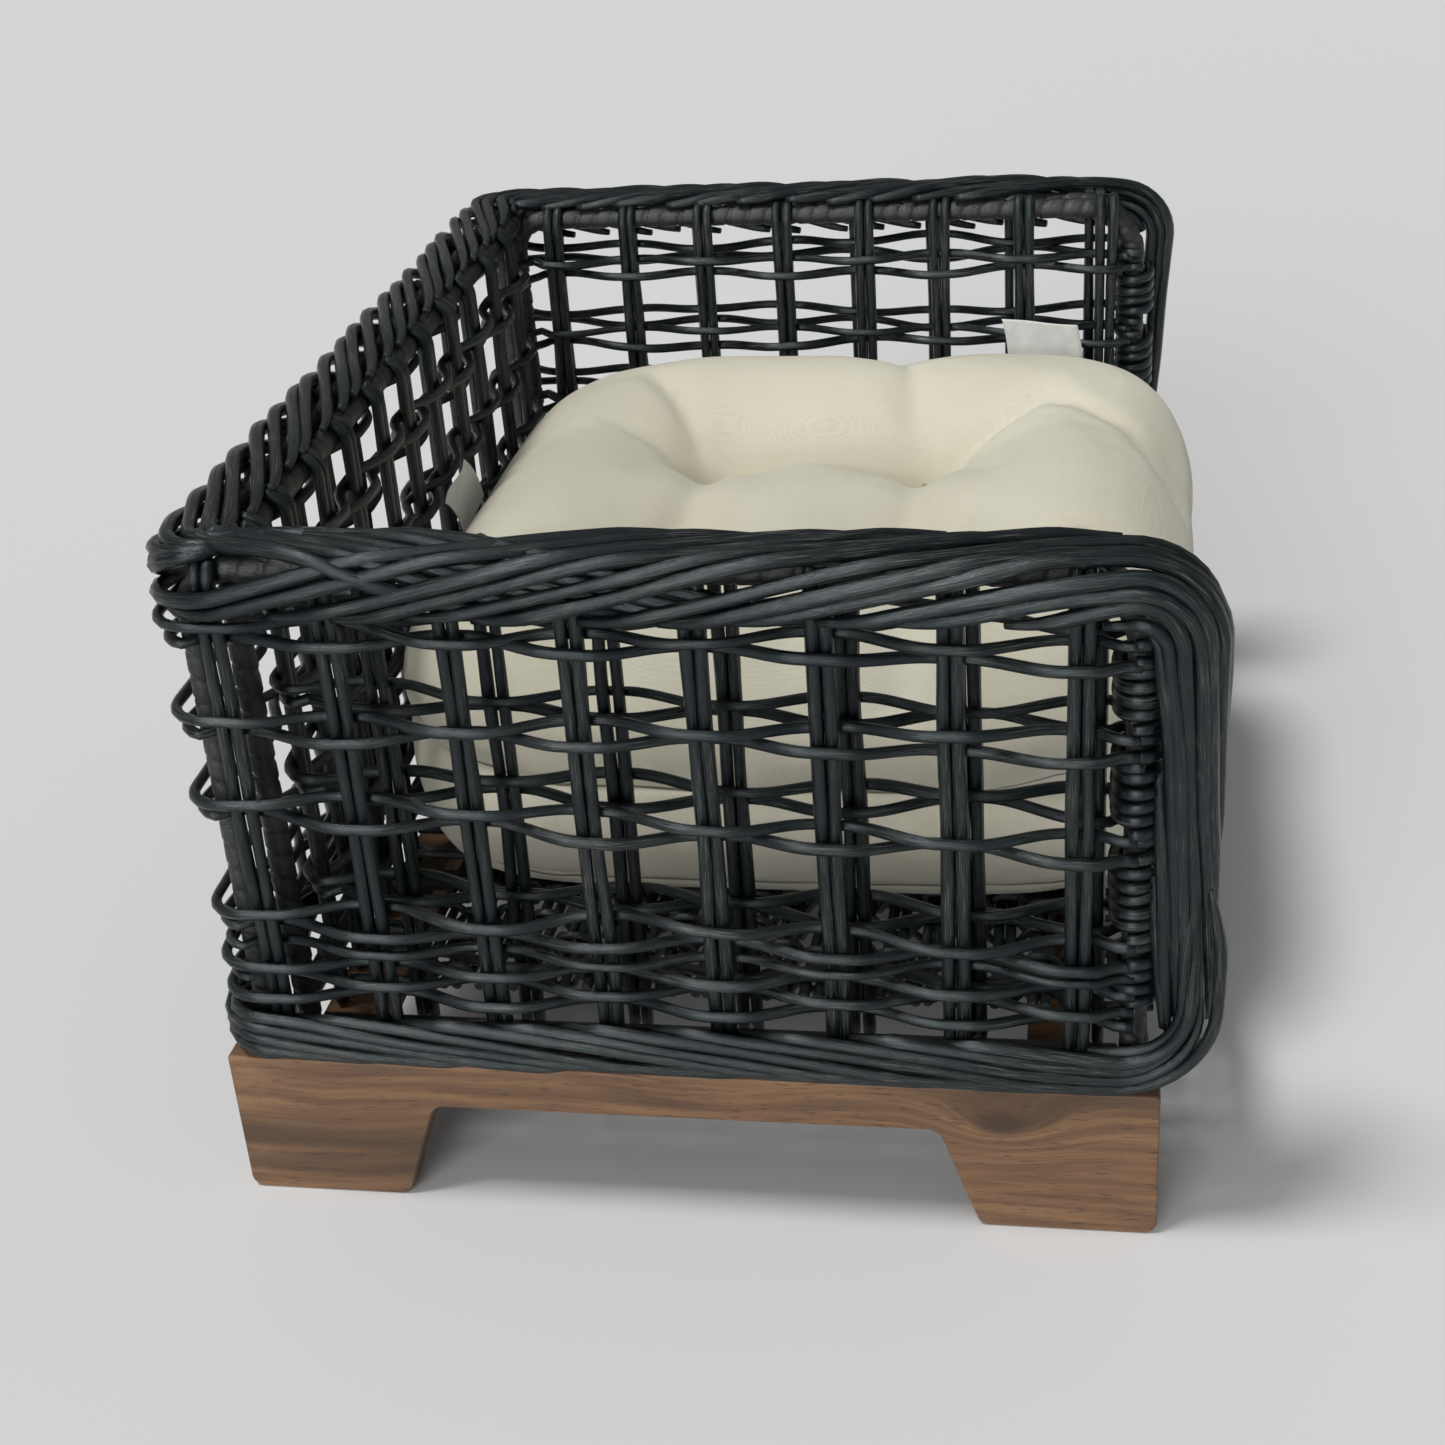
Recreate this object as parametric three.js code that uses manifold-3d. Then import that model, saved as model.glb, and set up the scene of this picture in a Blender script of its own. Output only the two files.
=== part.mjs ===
// Wicker pet bed basket on a low wooden stand, with a loose tufted cushion.
// Millimetres, +Z up. The origin is on the floor at the centre of the footprint.
// X runs along the length, the closed back wall faces +Y and the open front faces -Y.

import * as THREE from 'three';
import { mergeVertices } from 'three/addons/utils/BufferGeometryUtils.js';
import Module from 'manifold-3d';

const wasm = await Module();
wasm.setup();

// ---- driving dimensions -------------------------------------------------------------------
const LENGTH = 596;              // outside of the basket along X
const DEPTH = 460;               // outside of the basket along Y
const HEIGHT = 340;              // floor to the top of the border
const GAP = 0.3;                 // clearance between pieces that touch
const STAND_TOP = 78;            // floor to the top of the stand

const BOARD_THICKNESS = 20;
const BOARD_LENGTH = 435;
const BOARD_CENTRE_Y = 10.5;     // the stand sits a little towards the back
const BOARD_OUTER_X = 290;
const BOARD_RAIL_HEIGHT = 24.5;  // solid wood left above the cut-out
const FOOT_WIDTH_BOTTOM = 80;
const FOOT_WIDTH_TOP = 98.5;
const FOOT_CORNER_RADIUS = 6;
const CROSS_RAIL_WIDTH = 24;
const CROSS_RAIL_HEIGHT = 24;
const CROSS_RAIL_INSET = 48;     // from the board's ends to the middle of each cross rail
const DOWEL_RADIUS = 4;
const DOWEL_LENGTH = 24;
const SCREW_RADIUS = 2;
const SCREW_HEAD_RADIUS = 4.2;
const SCREW_HEAD_HEIGHT = 3;

const POLE_RADIUS = 6.3;         // rattan frame poles
const CROSS_POLE_OFFSET = 140;   // from the middle one to the other two under the floor
const WRAP_WALL = 5;             // thickness of the rods wound round the front posts
const PAIR_WIDTH = 13.2;         // two stakes side by side
const LAYER_THICKNESS = 6;
const OUTER_PLANE = 12;          // outside face to the middle of the outer layer
const INNER_PLANE = 45;          // outside face to the middle of the inner layer
const RAIL_HEIGHT = 325;         // height of the rails' centre line
const FRONT_POST_Y = -194;
const FRONT_BEND_RADIUS = 34;
const BACK_BEND_RADIUS = 20;
const ROW_HEIGHTS = [150, 210, 254, 293];
const ROW_WIDTH = 11;
const END_PAIR_COUNT = 8;
const LEFT_PAIR_FIRST_Y = -169.8;
const LEFT_PAIR_PITCH = 52.4;
const RIGHT_PAIR_FIRST_Y = -170;
const RIGHT_PAIR_PITCH = 49.5;
const BACK_PAIR_COUNT = 10;
const BACK_PAIR_PITCH = 46.6;

const BORDER_WIDTH = 32;         // top border, from the outside face inwards
const BORDER_HEIGHT = 35;        // top border, on the outside face
const BRAID_WIDTH = 24;          // front edge braid, along Y
const CORNER_RADIUS = 42;        // top front corner of the end walls
const PLAN_RADIUS = 26;          // vertical edges of the borders
const BAND_TOP = 125;            // top of the woven band round the foot of the walls
const SILL_TOP = 102.4;          // top of the low front edge
const FLOOR_THICKNESS = 11.2;
const FLOOR_ROD_PITCH = 66;
const FLOOR_ROD_COUNT = 8;

const CUSHION_LENGTH = 430;
const CUSHION_DEPTH = 406;
const CUSHION_HEIGHT = 150;
const CUSHION_X = 22;
const CUSHION_Y = -23;
const TUFT_OFFSET_X = 70;
const TUFT_OFFSET_Y = 62;
const TUFT_DEPTH = 46;
const TUFT_RADIUS = 52;
const KNOT_RADIUS = 3.5;
const KNOT_HEIGHT = 2;
const KNOT_LIFT = 3.5;           // the knot rides this far above the point of its dimple
const EDGE_ROUNDING = 0.07;      // share of the half width lost at the top and bottom edges
const CORNER_PULL = 0.04;
const TOP_CROWN = 0.34;
const BOTTOM_CROWN = 0.14;
const SEAM_HEIGHT = 174;         // upper seam of the cushion's side band
const LABEL_HEIGHT = 34;
const LABEL_WIDTH = 44;
const LABEL_THICKNESS = 0.8;

// ---- worked-out values --------------------------------------------------------------------
const HALF_X = LENGTH / 2;
const HALF_Y = DEPTH / 2;
const HALF_LAYER = LAYER_THICKNESS / 2;
const OUTER_X = HALF_X - OUTER_PLANE;
const OUTER_Y = HALF_Y - OUTER_PLANE;
const INNER_X = HALF_X - INNER_PLANE;
const INNER_Y = HALF_Y - INNER_PLANE;
const POLE_STEP = HALF_LAYER + GAP + POLE_RADIUS;
const OUTER_POLE_X = OUTER_X - POLE_STEP;
const INNER_POLE_X = INNER_X + POLE_STEP;
const OUTER_POLE_Y = OUTER_Y - POLE_STEP;
const INNER_POLE_Y = INNER_Y + POLE_STEP;
const POLE_Z = STAND_TOP + GAP + POLE_RADIUS;
const BAND_FACE = OUTER_PLANE - HALF_LAYER - GAP;
const RAIL_TOP = RAIL_HEIGHT + POLE_RADIUS;
const BORDER_BOTTOM = HEIGHT - BORDER_HEIGHT;
const WRAP_RADIUS = POLE_RADIUS + GAP + WRAP_WALL;
const FLOOR_BOTTOM = SILL_TOP - FLOOR_THICKNESS;
const CUSHION_BOTTOM = SILL_TOP + GAP;

const X_AXIS = new THREE.Vector3(1, 0, 0);
const Y_AXIS = new THREE.Vector3(0, 1, 0);
const Z_AXIS = new THREE.Vector3(0, 0, 1);

// ---- finishes -----------------------------------------------------------------------------
const FINISHES = {
  wicker: { color: 0x1f2629, roughness: 0.42, metalness: 0 },
  pole: { color: 0x2a2826, roughness: 0.55, metalness: 0 },
  stand_wood: { color: 0x6e4c33, roughness: 0.5, metalness: 0 },
  cushion_cloth: { color: 0xd3cfbf, roughness: 0.9, metalness: 0 },
  label_cloth: { color: 0xe6e7e3, roughness: 0.8, metalness: 0 },
  thread: { color: 0xc9c3ae, roughness: 0.9, metalness: 0 },
  steel: { color: 0x9a9da0, roughness: 0.35, metalness: 1 },
};

const basket = new THREE.Group();
const cushion = new THREE.Group();

function addPiece(group, name, finish, geometry) {
  const mesh = new THREE.Mesh(geometry, new THREE.MeshStandardMaterial(FINISHES[finish]));
  mesh.name = name;
  group.add(mesh);
}

// ---- solids -------------------------------------------------------------------------------
// Corners are rounded to a micron first, so that faces meant to be level are exactly level.
function toSolid(geometry) {
  const bare = geometry.index ? geometry.toNonIndexed() : geometry.clone();
  bare.deleteAttribute('normal');
  bare.deleteAttribute('uv');
  const merged = mergeVertices(bare, 1e-4);
  return new wasm.Manifold(new wasm.Mesh({
    numProp: 3,
    vertProperties: merged.attributes.position.array.map((value) => Math.round(value * 1000) / 1000),
    triVerts: new Uint32Array(merged.index.array),
  }));
}

function toGeometry(solid) {
  const { vertProperties, triVerts } = solid.getMesh();
  const geometry = new THREE.BufferGeometry();
  geometry.setAttribute('position', new THREE.BufferAttribute(vertProperties, 3));
  geometry.setIndex(new THREE.BufferAttribute(triVerts, 1));
  return geometry;
}

function union(geometries) {
  return toGeometry(geometries.map(toSolid).reduce((joined, next) => joined.add(next)));
}

function subtract(geometry, tools) {
  return toGeometry(tools.map(toSolid).reduce((left, tool) => left.subtract(tool), toSolid(geometry)));
}

function intersect(geometry, other) {
  return toGeometry(toSolid(geometry).intersect(toSolid(other)));
}

// A box between two opposite corners.
function block(low, high) {
  const size = high.map((value, axis) => value - low[axis]);
  const centre = high.map((value, axis) => (value + low[axis]) / 2);
  return new THREE.BoxGeometry(...size).translate(...centre);
}

// The same box on the left (side -1) or right (side +1): x values are distances from the middle.
function sideBlock(side, low, high) {
  const xs = [side * low[0], side * high[0]].sort((a, b) => a - b);
  return block([xs[0], low[1], low[2]], [xs[1], high[1], high[2]]);
}

// A round bar of a given radius between two points.
function bar(from, to, radius, sides = 12) {
  const start = new THREE.Vector3(...from);
  const along = new THREE.Vector3(...to).sub(start);
  const geometry = new THREE.CylinderGeometry(radius, radius, along.length(), sides);
  const turn = new THREE.Quaternion().setFromUnitVectors(Y_AXIS, along.clone().normalize());
  geometry.applyQuaternion(turn);
  return geometry.translate(...start.addScaledVector(along, 0.5).toArray());
}

// An outline drawn in (y, z), carried along X from x0 to x1.
function extrudeAlongX(shape, x0, x1, curveSegments = 6) {
  const geometry = new THREE.ExtrudeGeometry(
    shape, { depth: x1 - x0, bevelEnabled: false, curveSegments });
  geometry.applyMatrix4(new THREE.Matrix4().makeBasis(Y_AXIS, Z_AXIS, X_AXIS));
  return geometry.translate(x0, 0, 0);
}

// An open grille: bars along v at each of uBars, and along u at each of vBars, in the plane w.
// The faces are laid on the grid that the bars' edges make, so that neighbours share corners.
function lattice(uBars, vBars, uRange, vRange, wRange, axes) {
  const lines = (bars, range) => [...new Set([...range, ...bars.flat()])].sort((a, b) => a - b);
  const us = lines(uBars, uRange);
  const vs = lines(vBars, vRange);
  const inBar = (bars, cuts, index) => {
    const middle = (cuts[index] + cuts[index + 1]) / 2;
    return bars.some(([low, high]) => middle > low && middle < high);
  };
  const filled = (i, j) => i >= 0 && j >= 0 && i < us.length - 1 && j < vs.length - 1
    && (inBar(uBars, us, i) || inBar(vBars, vs, j));
  const positions = wRange.flatMap((w) => us.flatMap((u) => vs.flatMap((v) => [u, v, w])));
  const corner = (i, j, level) => (level * us.length + i) * vs.length + j;
  const faces = [];
  const quad = (a, b, c, d) => faces.push(a, b, c, a, c, d);
  for (let i = 0; i < us.length - 1; i += 1) {
    for (let j = 0; j < vs.length - 1; j += 1) {
      if (!filled(i, j)) {
        continue;
      }
      quad(corner(i, j, 1), corner(i + 1, j, 1), corner(i + 1, j + 1, 1), corner(i, j + 1, 1));
      quad(corner(i, j, 0), corner(i, j + 1, 0), corner(i + 1, j + 1, 0), corner(i + 1, j, 0));
      const walls = [
        [filled(i - 1, j), [i, j + 1], [i, j]],
        [filled(i + 1, j), [i + 1, j], [i + 1, j + 1]],
        [filled(i, j - 1), [i, j], [i + 1, j]],
        [filled(i, j + 1), [i + 1, j + 1], [i, j + 1]],
      ];
      for (const [covered, from, to] of walls) {
        if (!covered) {
          quad(corner(...from, 0), corner(...to, 0), corner(...to, 1), corner(...from, 1));
        }
      }
    }
  }
  const grille = new THREE.BufferGeometry();
  grille.setAttribute('position', new THREE.Float32BufferAttribute(positions, 3));
  grille.setIndex(faces);
  grille.applyMatrix4(new THREE.Matrix4().makeBasis(...axes));
  return mergeVertices(grille.toNonIndexed(), 1e-4);
}

// The span of a bar of a given width about its middle.
function span(middle, width) {
  return [middle - width / 2, middle + width / 2];
}

// A rectangle with rounded corners, as an outline.
function roundedRectangle(left, right, bottom, top, radius) {
  const shape = new THREE.Shape();
  shape.absarc(right - radius, bottom + radius, radius, -Math.PI / 2, 0, false);
  shape.absarc(right - radius, top - radius, radius, 0, Math.PI / 2, false);
  shape.absarc(left + radius, top - radius, radius, Math.PI / 2, Math.PI, false);
  shape.absarc(left + radius, bottom + radius, radius, Math.PI, 1.5 * Math.PI, false);
  return shape;
}

// A standing prism with the basket's rounded plan, used to round the borders' corners.
function planPrism(bottom, top) {
  const outline = roundedRectangle(-HALF_X, HALF_X, -HALF_Y, HALF_Y, PLAN_RADIUS);
  return new THREE.ExtrudeGeometry(
    outline, { depth: top - bottom, bevelEnabled: false, curveSegments: 5 }).translate(0, 0, bottom);
}

// ---- wooden stand -------------------------------------------------------------------------
function boardOutline() {
  const half = BOARD_LENGTH / 2;
  const shape = new THREE.Shape();
  const radius = FOOT_CORNER_RADIUS;
  const cutTop = STAND_TOP - BOARD_RAIL_HEIGHT;
  const innerBottom = half - FOOT_WIDTH_BOTTOM;
  const innerTop = half - FOOT_WIDTH_TOP;
  shape.moveTo(-half, STAND_TOP);
  shape.lineTo(-half, radius);
  shape.absarc(-half + radius, radius, radius, Math.PI, 1.5 * Math.PI, false);
  shape.lineTo(-innerBottom - radius, 0);
  shape.quadraticCurveTo(-innerBottom, 0, -innerBottom + radius * 0.3, radius);
  shape.lineTo(-innerTop - radius * 0.3, cutTop - radius);
  shape.quadraticCurveTo(-innerTop, cutTop, -innerTop + radius, cutTop);
  shape.lineTo(innerTop - radius, cutTop);
  shape.quadraticCurveTo(innerTop, cutTop, innerTop + radius * 0.3, cutTop - radius);
  shape.lineTo(innerBottom - radius * 0.3, radius);
  shape.quadraticCurveTo(innerBottom, 0, innerBottom + radius, 0);
  shape.lineTo(half - radius, 0);
  shape.absarc(half - radius, radius, radius, 1.5 * Math.PI, 2 * Math.PI, false);
  shape.lineTo(half, STAND_TOP);
  return shape;
}

function buildStand() {
  const inner = BOARD_OUTER_X - BOARD_THICKNESS;
  const railZ = STAND_TOP - CROSS_RAIL_HEIGHT / 2;
  const railYs = [
    ['front', BOARD_CENTRE_Y - BOARD_LENGTH / 2 + CROSS_RAIL_INSET],
    ['back', BOARD_CENTRE_Y + BOARD_LENGTH / 2 - CROSS_RAIL_INSET],
  ];
  const dowelHoles = [];
  for (const [name, y] of railYs) {
    for (const side of [-1, 1]) {
      const middle = side * inner;
      const reach = DOWEL_LENGTH / 2;
      dowelHoles.push(bar([middle - reach - GAP, y, railZ], [middle + reach + GAP, y, railZ],
        DOWEL_RADIUS + GAP));
      addPiece(basket, `stand_dowel_${side < 0 ? 'left' : 'right'}_${name}`, 'stand_wood',
        bar([middle - reach, y, railZ], [middle + reach, y, railZ], DOWEL_RADIUS));
    }
  }
  for (const side of [-1, 1]) {
    const xs = [side * inner, side * BOARD_OUTER_X].sort((a, b) => a - b);
    const board = extrudeAlongX(boardOutline(), xs[0], xs[1], 4).translate(0, BOARD_CENTRE_Y, 0);
    addPiece(basket, `stand_board_${side < 0 ? 'left' : 'right'}`, 'stand_wood',
      subtract(board, dowelHoles.filter((_, index) => (index % 2 === 0) === (side < 0))));
  }
  for (const [name, y] of railYs) {
    const bottom = STAND_TOP - CROSS_RAIL_HEIGHT;
    const rail = block([-inner + GAP, y - CROSS_RAIL_WIDTH / 2, bottom],
      [inner - GAP, y + CROSS_RAIL_WIDTH / 2, STAND_TOP]);
    const screwHoles = [];
    for (const side of [-1, 1]) {
      const x = side * CROSS_POLE_OFFSET;
      screwHoles.push(
        bar([x, y, bottom - 1], [x, y, STAND_TOP + 1], SCREW_RADIUS + GAP, 8),
        bar([x, y, bottom - 1], [x, y, bottom + SCREW_HEAD_HEIGHT + GAP], SCREW_HEAD_RADIUS + GAP, 8));
      addPiece(basket, `stand_screw_${side < 0 ? 'left' : 'right'}_${name}`, 'steel', union([
        bar([x, y, bottom], [x, y, POLE_Z + POLE_RADIUS / 2], SCREW_RADIUS, 8),
        bar([x, y, bottom], [x, y, bottom + SCREW_HEAD_HEIGHT], SCREW_HEAD_RADIUS, 8),
      ]));
    }
    addPiece(basket, `stand_rail_${name}`, 'stand_wood', subtract(rail, [...dowelHoles, ...screwHoles]));
  }
  return railYs.map(([, y]) => y);
}

// ---- rattan frame -------------------------------------------------------------------------
// The centre line of a bent pole: straight runs joined by round bends, sampled at its corners.
class BentLine extends THREE.Curve {
  constructor(points) {
    super();
    this.points = points;
  }

  getPoint(t) {
    return this.points[Math.round(t * (this.points.length - 1))].clone();
  }

  getPointAt(u) {
    return this.getPoint(u);
  }

  getTangentAt(u) {
    const last = this.points.length - 1;
    const index = Math.round(u * last);
    const before = this.points[Math.max(index - 1, 0)];
    const after = this.points[Math.min(index + 1, last)];
    return after.clone().sub(before).normalize();
  }
}

// A pole that rises at the front, bends over the top and comes down at the back.
function hoop(x, backY) {
  const foot = STAND_TOP + GAP;
  const points = [new THREE.Vector3(x, FRONT_POST_Y, foot)];
  const bends = [
    [FRONT_POST_Y + FRONT_BEND_RADIUS, FRONT_BEND_RADIUS, Math.PI, Math.PI / 2],
    [backY - BACK_BEND_RADIUS, BACK_BEND_RADIUS, Math.PI / 2, 0],
  ];
  const steps = 5;
  for (const [centreY, radius, from, to] of bends) {
    for (let step = 0; step <= steps; step += 1) {
      const angle = from + (to - from) * step / steps;
      points.push(new THREE.Vector3(
        x, centreY + radius * Math.cos(angle), RAIL_HEIGHT - radius + radius * Math.sin(angle)));
    }
  }
  points.push(new THREE.Vector3(x, backY, foot));
  const section = new THREE.Shape();
  section.absarc(0, 0, POLE_RADIUS, 0, 2 * Math.PI, false);
  return new THREE.ExtrudeGeometry(section, {
    steps: points.length - 1, curveSegments: 5, extrudePath: new BentLine(points),
  });
}

function buildFrame(railYs) {
  const sillY = FRONT_POST_Y - 2;
  const backY = (OUTER_POLE_Y + INNER_POLE_Y) / 2;
  const postReach = INNER_POLE_X - POLE_RADIUS - GAP;
  for (const side of [-1, 1]) {
    const end = side < 0 ? 'left' : 'right';
    addPiece(basket, `outer_hoop_${end}`, 'pole', hoop(side * OUTER_POLE_X, OUTER_POLE_Y));
    addPiece(basket, `inner_hoop_${end}`, 'pole', hoop(side * INNER_POLE_X, INNER_POLE_Y));
    const poleX = side * (OUTER_POLE_X + INNER_POLE_X) / 2;
    addPiece(basket, `base_pole_${end}`, 'pole', bar(
      [poleX, FRONT_POST_Y + POLE_RADIUS + GAP, POLE_Z],
      [poleX, INNER_POLE_Y - POLE_RADIUS - GAP, POLE_Z], POLE_RADIUS));
  }
  addPiece(basket, 'base_pole_front', 'pole',
    bar([-postReach, sillY, POLE_Z], [postReach, sillY, POLE_Z], POLE_RADIUS));
  addPiece(basket, 'base_pole_back', 'pole',
    bar([-postReach, backY, POLE_Z], [postReach, backY, POLE_Z], POLE_RADIUS));
  for (const step of [-1, 0, 1]) {
    const x = step * CROSS_POLE_OFFSET;
    const pole = bar([x, sillY + POLE_RADIUS + GAP, POLE_Z], [x, backY - POLE_RADIUS - GAP, POLE_Z],
      POLE_RADIUS);
    const pilots = railYs.map((y) => bar(
      [x, y, POLE_Z - 2 * POLE_RADIUS], [x, y, POLE_Z + POLE_RADIUS / 2 + GAP], SCREW_RADIUS + GAP, 8));
    addPiece(basket, `cross_pole_${step + 2}`, 'pole', step === 0 ? pole : subtract(pole, pilots));
  }
  const railReach = OUTER_POLE_X - POLE_RADIUS - GAP;
  addPiece(basket, 'back_rail_outer', 'pole',
    bar([-railReach, OUTER_POLE_Y, RAIL_HEIGHT], [railReach, OUTER_POLE_Y, RAIL_HEIGHT], POLE_RADIUS));
  addPiece(basket, 'back_rail_inner', 'pole',
    bar([-postReach, INNER_POLE_Y, RAIL_HEIGHT], [postReach, INNER_POLE_Y, RAIL_HEIGHT], POLE_RADIUS));
}

// ---- woven walls and floor ----------------------------------------------------------------
const leftPairYs = Array.from({ length: END_PAIR_COUNT },
  (_, index) => LEFT_PAIR_FIRST_Y + index * LEFT_PAIR_PITCH);
const rightPairYs = Array.from({ length: END_PAIR_COUNT },
  (_, index) => RIGHT_PAIR_FIRST_Y + index * RIGHT_PAIR_PITCH);
const backPairXs = Array.from({ length: BACK_PAIR_COUNT },
  (_, index) => (index - (BACK_PAIR_COUNT - 1) / 2) * BACK_PAIR_PITCH);

const rowSpans = ROW_HEIGHTS.map((z) => span(z, ROW_WIDTH));
const wallHeights = [STAND_TOP + GAP, RAIL_TOP];

// Stake pairs and weaver rows of one end wall layer, as one open panel.
function endPanel(side, plane, pairYs, yRange) {
  const stakes = pairYs.map((y) => span(y, PAIR_WIDTH)).filter(([, high]) => high < yRange[1]);
  return lattice(stakes, rowSpans, yRange, wallHeights, span(side * plane, LAYER_THICKNESS),
    [Y_AXIS, Z_AXIS, X_AXIS]);
}

// Stake pairs and weaver rows of one back wall layer: it is drawn in (z, x) and set along Y.
function backPanel(plane, halfWidth) {
  const stakes = backPairXs.map((x) => span(x, PAIR_WIDTH));
  return lattice(rowSpans, stakes, wallHeights, [-halfWidth, halfWidth], span(plane, LAYER_THICKNESS),
    [Z_AXIS, X_AXIS, Y_AXIS]);
}

function buildWalls() {
  const fromY = FRONT_POST_Y + WRAP_RADIUS + GAP;
  for (const side of [-1, 1]) {
    const end = side < 0 ? 'left' : 'right';
    const pairYs = side < 0 ? leftPairYs : rightPairYs;
    addPiece(basket, `outer_weave_${end}`, 'wicker',
      endPanel(side, OUTER_X, pairYs, [fromY, OUTER_Y - HALF_LAYER - GAP]));
    addPiece(basket, `inner_weave_${end}`, 'wicker',
      endPanel(side, INNER_X, pairYs, [fromY, INNER_Y - HALF_LAYER - GAP]));
  }
  addPiece(basket, 'outer_weave_back', 'wicker', backPanel(OUTER_Y, OUTER_X + HALF_LAYER));
  addPiece(basket, 'inner_weave_back', 'wicker', backPanel(INNER_Y, INNER_X + HALF_LAYER));
}

function buildFloor() {
  const reachX = INNER_X - HALF_LAYER - GAP;
  const rangeY = [-HALF_Y + BRAID_WIDTH + GAP, INNER_Y - HALF_LAYER - GAP];
  const rodXs = Array.from({ length: FLOOR_ROD_COUNT },
    (_, index) => (index - (FLOOR_ROD_COUNT - 1) / 2) * FLOOR_ROD_PITCH);
  addPiece(basket, 'floor_weave', 'wicker', lattice(
    rodXs.map((x) => span(x, PAIR_WIDTH)),
    leftPairYs.map((y) => span(y, PAIR_WIDTH)).filter(([, high]) => high < rangeY[1]),
    [-reachX, reachX], rangeY, [FLOOR_BOTTOM, SILL_TOP], [X_AXIS, Y_AXIS, Z_AXIS]));
}

// ---- borders and wrapping -----------------------------------------------------------------
function buildBorders() {
  const cornerY = -HALF_Y + CORNER_RADIUS;
  const cornerZ = HEIGHT - CORNER_RADIUS;
  const skin = HEIGHT - RAIL_TOP - GAP;
  const topPrism = planPrism(BAND_TOP, HEIGHT);
  const bandPrism = planPrism(STAND_TOP + GAP, BAND_TOP);
  for (const side of [-1, 1]) {
    const end = side < 0 ? 'left' : 'right';
    const topBorder = union([
      sideBlock(side, [HALF_X - BORDER_WIDTH, cornerY + GAP, HEIGHT - skin], [HALF_X, HALF_Y, HEIGHT]),
      sideBlock(side, [HALF_X - BAND_FACE, cornerY + GAP, BORDER_BOTTOM], [HALF_X, HALF_Y, HEIGHT]),
    ]);
    addPiece(basket, `top_border_${end}`, 'wicker', intersect(topBorder, topPrism));

    const corner = new THREE.Shape();
    corner.absarc(cornerY, cornerZ, CORNER_RADIUS, Math.PI / 2, Math.PI, false);
    corner.absarc(cornerY, cornerZ, CORNER_RADIUS - skin, Math.PI, Math.PI / 2, true);
    const xs = [side * (HALF_X - BORDER_WIDTH), side * HALF_X].sort((a, b) => a - b);
    const postTop = cornerZ - CORNER_RADIUS / 2;
    const braid = union([
      extrudeAlongX(corner, xs[0], xs[1]),
      block([xs[0], -HALF_Y, BAND_TOP + GAP], [xs[1], -HALF_Y + skin, cornerZ + 1]),
      block([xs[0], -HALF_Y, BAND_TOP + GAP], [xs[1], -HALF_Y + BRAID_WIDTH - GAP, postTop]),
    ]);
    addPiece(basket, `front_braid_${end}`, 'wicker', braid);
    addPiece(basket, `front_braid_foot_${end}`, 'wicker', sideBlock(side,
      [HALF_X - BORDER_WIDTH, -HALF_Y, SILL_TOP + GAP],
      [HALF_X - BAND_FACE - GAP, -HALF_Y + BRAID_WIDTH - GAP, BAND_TOP]));
    const band = sideBlock(side,
      [HALF_X - BAND_FACE, -HALF_Y, STAND_TOP + GAP], [HALF_X, HALF_Y, BAND_TOP]);
    addPiece(basket, `bottom_border_${end}`, 'wicker', intersect(band, bandPrism));

    const wrapInner = roundedRectangle(INNER_POLE_X - POLE_RADIUS - GAP, OUTER_POLE_X + POLE_RADIUS + GAP,
      -POLE_RADIUS - GAP, POLE_RADIUS + GAP, POLE_RADIUS);
    const wrapOuter = roundedRectangle(INNER_POLE_X - WRAP_RADIUS, OUTER_POLE_X + WRAP_RADIUS,
      -WRAP_RADIUS, WRAP_RADIUS, WRAP_RADIUS - 1);
    wrapOuter.holes.push(wrapInner);
    const wrap = new THREE.ExtrudeGeometry(wrapOuter, {
      depth: RAIL_HEIGHT - FRONT_BEND_RADIUS - BAND_TOP, bevelEnabled: false, curveSegments: 3,
    }).translate(0, FRONT_POST_Y, BAND_TOP);
    addPiece(basket, `front_post_wrap_${end}`, 'wicker',
      side > 0 ? wrap : wrap.rotateZ(Math.PI).translate(0, 2 * FRONT_POST_Y, 0));
  }
  const backReach = HALF_X - BORDER_WIDTH - GAP;
  addPiece(basket, 'top_border_back', 'wicker', union([
    block([-backReach, HALF_Y - BORDER_WIDTH, HEIGHT - skin], [backReach, HALF_Y, HEIGHT]),
    block([-backReach, HALF_Y - BAND_FACE, BORDER_BOTTOM], [backReach, HALF_Y, HEIGHT]),
  ]));
  const bandReach = HALF_X - BAND_FACE - GAP;
  addPiece(basket, 'bottom_border_back', 'wicker', intersect(
    block([-bandReach, HALF_Y - BAND_FACE, STAND_TOP + GAP], [bandReach, HALF_Y, BAND_TOP]), bandPrism));
  addPiece(basket, 'bottom_border_front', 'wicker', intersect(
    block([-bandReach, -HALF_Y, STAND_TOP + GAP], [bandReach, -HALF_Y + BRAID_WIDTH, SILL_TOP]), bandPrism));
}

// ---- cushion ------------------------------------------------------------------------------
// Tuft centres, relative to the cushion's middle.
const tuftCentres = [-1, 1].flatMap((sideX) => [-1, 1].map(
  (sideY) => [sideX * TUFT_OFFSET_X, sideY * TUFT_OFFSET_Y]));

// How far the top is drawn down at a point: one round dimple for each tuft.
function dimple(x, y) {
  return tuftCentres.reduce((depth, [tuftX, tuftY]) => {
    const distance = Math.hypot(x - tuftX, y - tuftY) / TUFT_RADIUS;
    return Math.max(depth, TUFT_DEPTH * Math.exp(-2 * distance * distance));
  }, 0);
}

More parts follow.
